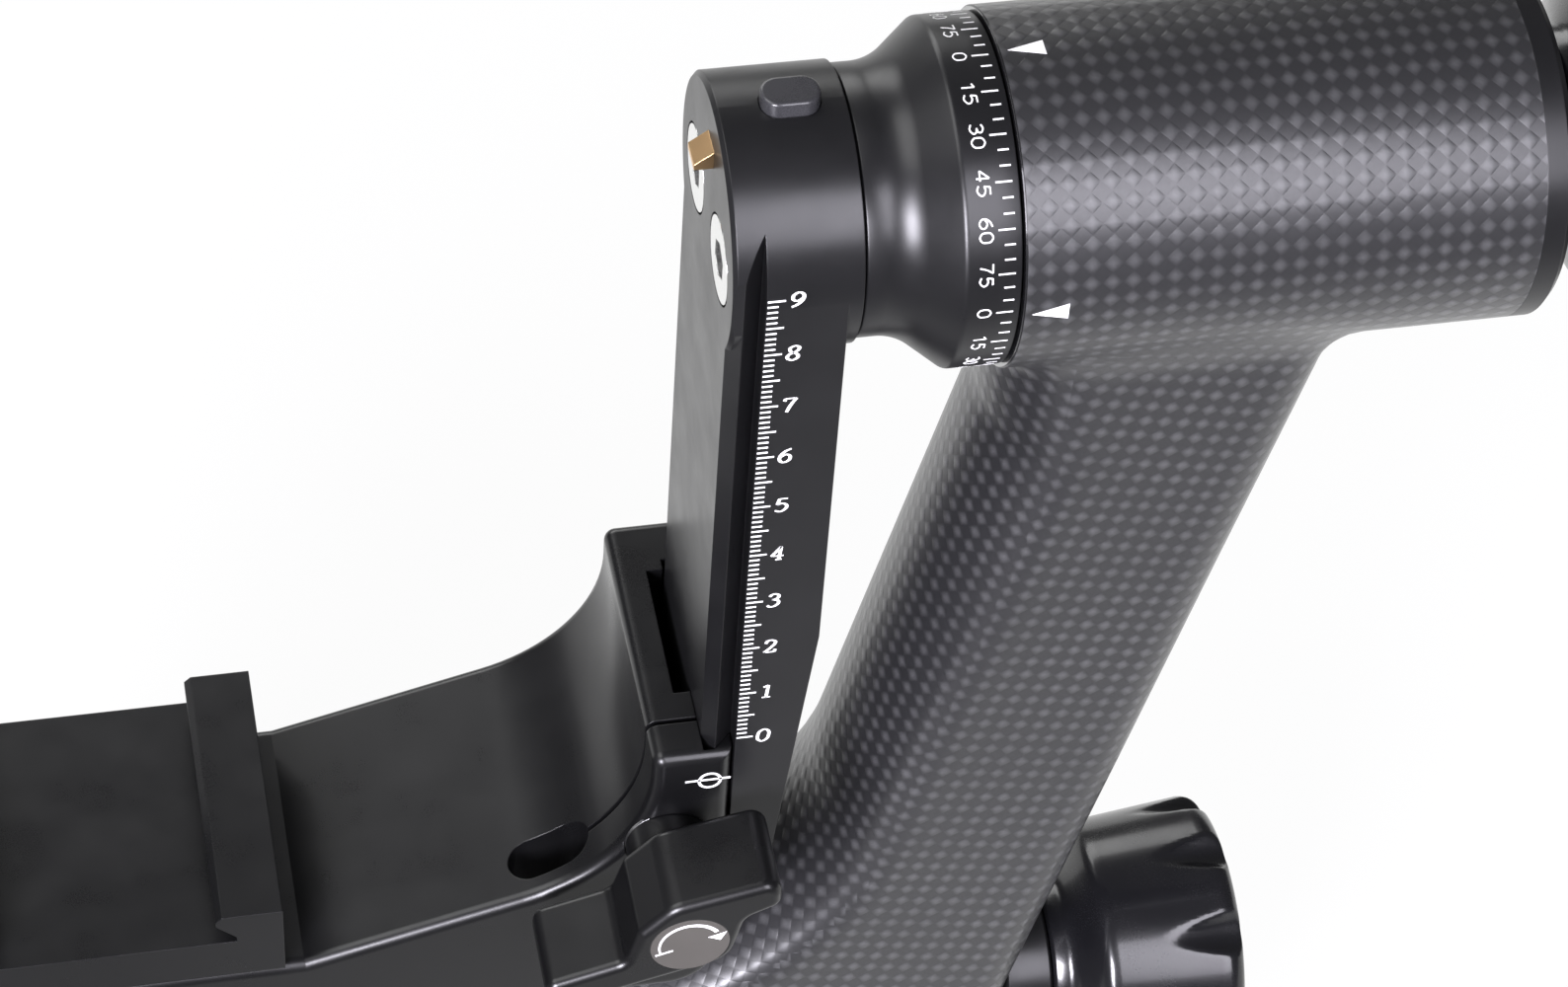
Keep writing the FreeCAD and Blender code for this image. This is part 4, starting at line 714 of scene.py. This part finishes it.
class OBJECT_OT_gimbal_knobs(bpy.types.Operator):
    """Builds the three fluted knobs"""

    bl_idname = "object.gimbal_knobs"
    bl_label = "Knobs"

    def execute(self, context):
        for name, body, radius, neck, way in (("pan_lock_knob", "pan_knob", PAN_KNOB_RADIUS, 14.0, 1),
                                              ("tilt_lock_knob", "tilt_knob", 26.0, 15.0, 1),
                                              ("lens_clamp_knob", "lens_knob", 13.0, 8.0, -1)):
            low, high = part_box(name)
            middle = (low + high) / 2 / MM
            tall = (high.x - low.x) / MM
            begin = low.x / MM if way > 0 else high.x / MM
            profile = knob_profile(tall, radius, neck)
            mesh = lathed(name + "_moulded", profile, middle.z, middle.y, begin, 240,
                          fluted(radius, tall), way)
            made = add_piece(name + "_moulded", mesh, "knob black", body, (name,))
            sharpen(made.data, 55)
        return {"FINISHED"}


# Printed marks
# A digit is a list of pen strokes through points of a box one high. "corner" breaks a stroke's curve.

SANS = {
    "0": [[(.30, .97), (.08, .80), (.04, .50), (.08, .20), (.30, .03), (.52, .20), (.56, .50),
           (.52, .80), (.30, .97)]],
    "1": [[(.14, .76), (.36, .94), "corner", (.36, .03)]],
    "3": [[(.08, .86), (.30, .97), (.51, .82), (.46, .60), (.26, .53)],
          [(.26, .53), (.50, .46), (.55, .24), (.32, .03), (.06, .14)]],
    "4": [[(.44, .03), (.44, .96), "corner", (.04, .30), "corner", (.58, .30)]],
    "5": [[(.53, .95), (.15, .95), "corner", (.10, .54), "corner", (.32, .62), (.54, .48), (.55, .24),
           (.32, .03), (.06, .14)]],
    "6": [[(.48, .95), (.22, .78), (.07, .50), (.08, .20), (.30, .03), (.53, .18), (.52, .46),
           (.30, .58), (.09, .42)]],
    "7": [[(.05, .95), (.56, .95), "corner", (.36, .50), (.24, .03)]],
}
SERIF = {
    "0": [[(.33, .98), (.09, .80), (.04, .50), (.09, .20), (.33, .02), (.57, .20), (.62, .50),
           (.57, .80), (.33, .98)]],
    "1": [[(.12, .84), (.36, .96), "corner", (.36, .02)],
          [(.14, .03), (.58, .03)]],
    "2": [[(.08, .74), (.12, .90), (.32, .98), (.54, .86), (.54, .66), (.34, .36), (.07, .05),
           "corner", (.60, .05), "corner", (.62, .24)]],
    "3": [[(.08, .80), (.16, .92), (.34, .98), (.54, .84), (.48, .62), (.24, .54)],
          [(.24, .54), (.52, .48), (.60, .26), (.42, .05), (.20, .02), (.05, .14)]],
    "4": [[(.45, .02), (.45, .96), "corner", (.04, .30), "corner", (.66, .30)],
          [(.28, .03), (.60, .03)]],
    "5": [[(.58, .95), (.18, .95), "corner", (.12, .55), "corner", (.34, .62), (.58, .48), (.59, .24),
           (.36, .03), (.06, .12)]],
    "6": [[(.56, .96), (.28, .80), (.08, .50), (.10, .18), (.33, .02), (.57, .18), (.56, .46),
           (.34, .58), (.12, .44)]],
    "7": [[(.06, .78), (.08, .95), "corner", (.62, .95), "corner", (.40, .50), (.26, .02)]],
    "8": [[(.34, .98), (.12, .84), (.18, .62), (.34, .52), (.54, .38), (.58, .18), (.34, .02),
           (.08, .18), (.12, .40), (.34, .53), (.52, .66), (.56, .86), (.34, .98)]],
    "9": [[(.12, .04), (.40, .20), (.60, .50), (.58, .82), (.35, .98), (.11, .82), (.12, .54),
           (.34, .42), (.56, .56)]],
}


def curved(stroke, fine=5):
    """A smooth run of points through a stroke's own points, broken at its corners."""
    runs, run = [], []
    for point in stroke:
        if point == "corner":
            runs.append(run)
            run = [run[-1]]
        else:
            run.append(point)
    runs.append(run)
    result = []
    for run in runs:
        spots = [np.array(point, float) for point in run]
        closed = len(spots) > 3 and np.allclose(spots[0], spots[-1])
        line = [spots[0]]
        for index in range(len(spots) - 1):
            one, two = spots[index], spots[index + 1]
            before = spots[index - 1] if index else (spots[-2] if closed else 2 * one - two)
            after = spots[index + 2] if index + 2 < len(spots) else (spots[1] if closed else 2 * two - one)
            course = two - before
            bend = 2 * before - 5 * one + 4 * two - after
            twist = 3 * one - before - 3 * two + after
            for t in np.linspace(0, 1, fine + 1)[1:] if len(spots) > 2 else (1.0,):
                line.append(0.5 * (2 * one + course * t + bend * t * t + twist * t ** 3))
        result.append(line)
    return result


def ribbon(line, thick, thin):
    """Left and right edges of a pen line whose width depends on its direction."""
    line = np.array(line)
    ahead = np.vstack([line[1:] - line[:-1], line[-1:] - line[-2:-1]])
    behind = np.vstack([ahead[:1], ahead[:-1]])
    course = ahead / np.maximum(np.linalg.norm(ahead, axis=1)[:, None], 1e-9)
    course = course + behind / np.maximum(np.linalg.norm(behind, axis=1)[:, None], 1e-9)
    if np.allclose(line[0], line[-1]):
        course[0] = course[-1] = course[0] + course[-1]
    course /= np.maximum(np.linalg.norm(course, axis=1)[:, None], 1e-9)
    normal = np.stack([-course[:, 1], course[:, 0]], 1)
    width = thin + (thick - thin) * np.abs(course[:, 1])[:, None] ** 1.3
    return line + normal * width / 2, line - normal * width / 2


class Print:
    """Collects flat marks as thin raised solids on a surface."""

    sunk = 0.04

    def __init__(self, place, lift):
        self.place = place
        self.lift = lift
        self.points = []
        self.faces = []

    def strip(self, left, right):
        """One ribbon between two runs of points."""
        first = len(self.points)
        count = len(left)
        for level in (self.lift, -self.sunk):
            for side in (left, right):
                self.points.extend(self.place(across, up, level) for across, up in side)
        for index in range(count - 1):
            a, b = first + index, first + count + index
            c, d = a + 2 * count, b + 2 * count
            self.faces += [[a, b, b + 1, a + 1], [c, c + 1, d + 1, d],
                           [a, a + 1, c + 1, c], [b, d, d + 1, b + 1]]
        last = first + count - 1
        self.faces += [[first, first + 2 * count, first + 3 * count, first + count],
                       [last, last + count, last + 3 * count, last + 2 * count]]

    def bar(self, low, high):
        """An upright rectangle."""
        self.strip([(low[0], low[1]), (high[0], low[1])], [(low[0], high[1]), (high[0], high[1])])

    def line(self, points, width):
        """A line of even width through points."""
        left, right = ribbon(points, width, width)
        self.strip(left.tolist(), right.tolist())

    def glyph(self, strokes, origin, tall, thick, thin, slant=0.0, turn=0.0, wide=1.0):
        """One digit, centred on its origin."""
        cosine, sine = math.cos(turn), math.sin(turn)
        middle, half = 0.32, 0.5

        def spun(side):
            """One edge of a pen line, turned and moved to the digit's place."""
            return [(origin[0] + x * cosine - y * sine, origin[1] + x * sine + y * cosine) for x, y in side]

        for stroke in strokes:
            for line in curved(stroke):
                flat = [(((x - middle) * wide + slant * (y - half)) * tall, (y - half) * tall)
                        for x, y in line]
                left, right = ribbon(flat, thick * tall, thin * tall)
                self.strip(spun(left), spun(right))

    def finish(self, name, body):
        """The marks as one printed piece."""
        mesh = mesh_of(name, self.points, self.faces, smooth=False)
        solid = bmesh.new()
        solid.from_mesh(mesh)
        bmesh.ops.recalc_face_normals(solid, faces=solid.faces)
        solid.to_mesh(mesh)
        solid.free()
        return add_piece(name, mesh, "white print", body)


class OBJECT_OT_gimbal_scale(bpy.types.Operator):
    """Prints the millimetre scale on the swing arm's front face"""

    bl_idname = "object.gimbal_scale"
    bl_label = "Swing arm scale"

    def execute(self, context):
        given = sizes()
        front, zero = -given.arm_half / MM, given.scale_zero / MM
        rail_side, long, short, half_tick = 92.5, 2.43, 1.5, 0.15
        digits_at, thick, thin, slant = 96.45, 0.17, 0.075, 0.10

        def place(across, up, out):
            """A spot on the arm's front face."""
            return across, front - out, up

        marks = Print(place, given.print_thick / MM)
        for step in range(91):
            reach = long if step % 5 == 0 else short
            level = zero + step
            marks.bar((rail_side + 0.05, level - half_tick), (rail_side + reach, level + half_tick))
        tall = given.digit_tall / MM
        for ten in range(10):
            marks.glyph(SERIF[str(ten)], (digits_at, zero + 10 * ten), tall, thick, thin, slant)
        marks.finish("swing_arm_scale", "tilt")
        return {"FINISHED"}


class OBJECT_OT_gimbal_dial(bpy.types.Operator):
    """Prints the degree dial round the hub"""

    bl_idname = "object.gimbal_dial"
    bl_label = "Hub dial"

    def execute(self, context):
        given = sizes()
        radius, tilt = given.dial_radius / MM, given.tilt_height / MM
        tick_end, long_start, short_start, half_tick = 124.25, 122.0, 122.8, 0.12
        digits_at, pen, wide = 120.4, 0.115, 1.35

        def place(across, up, out):
            """A spot by its distance along X and its distance round the band, back from the top."""
            angle = -up / radius
            return across, -(radius + out) * math.sin(angle), tilt + (radius + out) * math.cos(angle)

        marks = Print(place, given.print_thick / MM)
        zero = math.radians(-1.1)
        for five in range(72):
            middle = -radius * (zero + math.radians(5 * five))
            begin = long_start if five % 3 == 0 else short_start
            marks.bar((begin, middle - half_tick), (tick_end, middle + half_tick))
        tall = given.dial_digit_tall / MM
        for index in range(24):
            text = str((15 * index) % 90)
            middle = -radius * (zero + math.radians(15 * index))
            for number, digit in enumerate(text):
                off = (number - (len(text) - 1) / 2) * tall
                origin = (digits_at, middle - off)
                marks.glyph(SANS[digit], origin, tall, pen, pen, turn=-math.pi / 2, wide=wide)
        marks.finish("hub_dial_print", "tilt")
        return {"FINISHED"}


class OBJECT_OT_gimbal_pointers(bpy.types.Operator):
    """Prints the white pointers on the carbon tube"""

    bl_idname = "object.gimbal_pointers"
    bl_label = "Tube pointers"

    def execute(self, context):
        given = sizes()
        radius, tilt = given.tube_radius / MM, given.tilt_height / MM
        tip, long, half_tip, spread, above_cloth = 126.7, 4.95, 0.02, 1.32, 0.01

        def place(across, around, out):
            """A spot on the tube."""
            angle = around / radius
            return across, -(radius + out) * math.sin(angle), tilt + (radius + out) * math.cos(angle)

        marks = Print(place, given.print_thick / MM + above_cloth)
        for quarter in range(2):
            middle = radius * math.radians(90 * quarter - 0.4)
            sides = [[(tip + long * t, middle + way * (half_tip + spread * t)) for t in np.linspace(0, 1, 6)]
                     for way in (-1, 1)]
            marks.strip(*sides)
        marks.finish("tube_pointers", "pan")
        return {"FINISHED"}


class OBJECT_OT_gimbal_index(bpy.types.Operator):
    """Prints the index mark on the cradle's front jaw"""

    bl_idname = "object.gimbal_index"
    bl_label = "Jaw index"

    def execute(self, context):
        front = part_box("cradle_bracket")[0].y / MM
        left, right, level, bar_thick = 85.2, 91.9, 117.4, 0.4
        middle, radius, ring_thick = 88.85, 1.58, 0.42

        def place(across, up, out):
            """A spot on the jaw's front face."""
            return across, front - out, up

        marks = Print(place, sizes().print_thick / MM)
        marks.bar((left, level), (right, level + bar_thick))
        ring = [(middle + radius * math.cos(turn), level + radius * math.sin(turn))
                for turn in np.linspace(0, 2 * math.pi, 49)]
        marks.line(ring, ring_thick)
        marks.finish("jaw_index_print", "cradle")
        return {"FINISHED"}


class OBJECT_OT_gimbal_arrow(bpy.types.Operator):
    """Prints the turning arrow on the lever's badge"""

    bl_idname = "object.gimbal_arrow"
    bl_label = "Lever arrow"

    def execute(self, context):
        low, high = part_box("lever_badge")
        middle = (low + high) / 2 / MM
        front = low.y / MM
        radius, tail_half, head_half, bar_thick = 4.55, 0.14, 0.34, 0.36

        def place(across, up, out):
            """A spot on the badge's face, from its middle."""
            return middle.x + across, front - out, middle.z + up

        marks = Print(place, sizes().print_thick / MM)
        turns = np.radians(np.linspace(196, 32, 34))
        outward = np.stack([np.cos(turns), np.sin(turns)], 1)
        swell = np.linspace(tail_half, head_half, len(turns))[:, None]
        marks.strip((outward * (radius + swell)).tolist(), (outward * (radius - swell)).tolist())
        marks.line([(-5.1, -1.75), (-2.5, -0.95)], bar_thick)
        tip = np.array([4.45, 0.35])
        base = [(2.55, 1.3), (5.35, 2.25)]
        marks.strip([base[0], tuple(tip)], [base[1], tuple(tip + 0.02)])
        marks.finish("badge_arrow_print", "lever")
        return {"FINISHED"}


# CAD nodes

class OBJECT_OT_gimbal_finishes(bpy.types.Operator):
    """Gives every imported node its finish"""

    bl_idname = "object.gimbal_finishes"
    bl_label = "Finishes"

    def execute(self, context):
        made = make_finishes()
        slots = {entry["node"]: entry["material_slot"] for entry in frame["record"]["subparts"]}
        smoother = ("cradle_bracket", "clamp_lever", "clamp_base", "moving_jaw")
        variants = dict.fromkeys(smoother, "satin_black")
        variants["release_button"] = "button_black"
        for name, node in frame["nodes"].items():
            node.data.materials.clear()
            node.data.materials.append(made[variants.get(name, slots[name])])
        return {"FINISHED"}


# Studio

class OBJECT_OT_gimbal_stage(bpy.types.Operator):
    """Sets the camera, floor, backdrop light and soft boxes"""

    bl_idname = "object.gimbal_stage"
    bl_label = "Studio"

    def execute(self, context):
        scene = context.scene
        scene.view_settings.view_transform = "Standard"
        self.set_camera(scene)
        self.lay_floor()
        self.light_world(scene)
        aim = Vector((0.09, 0.0, 0.14))
        cool, plain = (0.92, 0.90, 1.0), (1.0, 1.0, 1.0)
        for name, place, wide, tall, power, tint in (
                ("key box", (-0.56, -0.98, 0.56), 0.42, 0.5, 34.0, cool),
                ("front box", (0.37, -1.00, 0.86), 0.5, 0.85, 11.5, cool),
                ("top box", (-0.55, 0.08, 1.05), 0.8, 0.6, 5.0, plain),
                ("back box", (-0.10, 1.15, 0.75), 0.9, 0.5, 5.0, plain)):
            lamp = bpy.data.objects.new(name, bpy.data.lights.new(name, "AREA"))
            lamp.data.shape = "RECTANGLE"
            lamp.data.size, lamp.data.size_y = wide, tall
            lamp.data.energy = power
            lamp.data.color = tint
            lamp.location = place
            lamp.rotation_mode = "QUATERNION"
            lamp.rotation_quaternion = (aim - Vector(place)).to_track_quat("-Z", "Y")
            scene.collection.objects.link(lamp)
        return {"FINISHED"}

    def set_camera(self, scene):
        """The photograph's own view, fitted to the printed scale and dial."""
        camera = bpy.data.objects.new("camera", bpy.data.cameras.new("camera"))
        scene.collection.objects.link(camera)
        right = (0.98088, -0.18719, 0.05332)
        up = (0.10431, 0.73684, 0.66799)
        back = (-0.16433, -0.64964, 0.74227)
        spot = (-0.002895, -0.412784, 0.627924)
        rows = [[right[row], up[row], back[row], spot[row]] for row in range(3)]
        camera.matrix_world = Matrix(rows + [[0, 0, 0, 1]])
        camera.data.sensor_width = 36.0
        camera.data.lens = 102.31
        camera.data.clip_start = 0.02
        camera.data.clip_end = 50.0
        scene.camera = camera

    def lay_floor(self):
        """A wide white floor with a soft shadow, darker in reflections in front and to the left."""
        below = (0, 0, -0.0004)
        bpy.ops.mesh.primitive_grid_add(x_subdivisions=8, y_subdivisions=8, size=12, location=below)
        floor = bpy.context.object
        floor.name = "floor"
        made, tree, shader = start_finish("studio floor", {"Roughness": 0.9, "Specular IOR Level": 0.1})
        paper = noise(tree, object_place(tree), 0.05, 3, 0.5)
        white = mixed(tree, paper, (0.86, 0.86, 0.86, 1), (0.90, 0.90, 0.90, 1))
        tree.links.new(white, shader.inputs["Base Color"])
        path = add_node(tree, "ShaderNodeLightPath")
        place = add_node(tree, "ShaderNodeSeparateXYZ", {"Vector": object_place(tree)})
        nearness = calc(tree, "MULTIPLY_ADD", place.outputs["X"], 0.6, place.outputs["Y"])
        shaded_front = spread_to(tree, nearness, 0.85, 0.0, (-0.17, 0.1))
        mirrored = path.outputs["Is Glossy Ray"]
        direct = calc(tree, "MAXIMUM", path.outputs["Is Camera Ray"], path.outputs["Is Transmission Ray"])
        seen = calc(tree, "MULTIPLY_ADD", direct, 0.94, mirrored)
        strength = calc(tree, "SUBTRACT", 1.0, calc(tree, "MULTIPLY", mirrored, shaded_front))
        glow = add_node(tree, "ShaderNodeEmission", {"Color": (1, 1, 1, 1), "Strength": strength})
        blend = add_node(tree, "ShaderNodeMixShader", {0: seen})
        tree.links.new(shader.outputs[0], blend.inputs[1])
        tree.links.new(glow.outputs[0], blend.inputs[2])
        tree.links.new(blend.outputs[0], tree.nodes["Material Output"].inputs["Surface"])
        floor.data.materials.append(made)

    def light_world(self, scene):
        """An even pale room, white where it is seen."""
        world = bpy.data.worlds.new("studio")
        scene.world = world
        world.use_nodes = True
        tree = world.node_tree
        room = tree.nodes["Background"]
        room.inputs["Color"].default_value = (0.9, 0.9, 0.92, 1)
        room.inputs["Strength"].default_value = 0.14
        path = add_node(tree, "ShaderNodeLightPath")
        white = add_node(tree, "ShaderNodeBackground", {"Color": (1, 1, 1, 1), "Strength": 1.0})
        blend = add_node(tree, "ShaderNodeMixShader", {0: path.outputs["Is Camera Ray"]})
        tree.links.new(room.outputs[0], blend.inputs[1])
        tree.links.new(white.outputs[0], blend.inputs[2])
        tree.links.new(blend.outputs[0], tree.nodes["World Output"].inputs["Surface"])


PIECE_OPERATORS = (
    OBJECT_OT_gimbal_finishes,
    OBJECT_OT_gimbal_carbon_arm,
    OBJECT_OT_gimbal_hub,
    OBJECT_OT_gimbal_knobs,
    OBJECT_OT_gimbal_scale,
    OBJECT_OT_gimbal_dial,
    OBJECT_OT_gimbal_pointers,
    OBJECT_OT_gimbal_index,
    OBJECT_OT_gimbal_arrow,
    OBJECT_OT_gimbal_stage,
)


class VIEW3D_PT_gimbal_head(bpy.types.Panel):
    """Buttons for each group of pieces and for the studio"""

    bl_idname = "VIEW3D_PT_gimbal_head"
    bl_label = "Gimbal head"
    bl_space_type = "VIEW_3D"
    bl_region_type = "UI"
    bl_category = "Gimbal head"

    def draw(self, context):
        for group in (sizes(), colours()):
            for key in group.__annotations__:
                self.layout.prop(group, key)
        for operator in PIECE_OPERATORS:
            self.layout.operator(operator.bl_idname)


CLASSES = (GimbalHeadSizes, GimbalHeadColours) + PIECE_OPERATORS + (VIEW3D_PT_gimbal_head,)


def register():
    """Registers the classes and the scene's settings."""
    for one in CLASSES:
        bpy.utils.register_class(one)
    bpy.types.Scene.gimbal_head_sizes = bpy.props.PointerProperty(type=GimbalHeadSizes)
    bpy.types.Scene.gimbal_head_colours = bpy.props.PointerProperty(type=GimbalHeadColours)


def unregister():
    """Removes what register added."""
    del bpy.types.Scene.gimbal_head_colours
    del bpy.types.Scene.gimbal_head_sizes
    for one in reversed(CLASSES):
        bpy.utils.unregister_class(one)


def main():
    """Builds every piece in order."""
    register()
    for operator in PIECE_OPERATORS:
        group, call = operator.bl_idname.split(".")
        getattr(getattr(bpy.ops, group), call)()


if __name__ == "__main__":
    main()
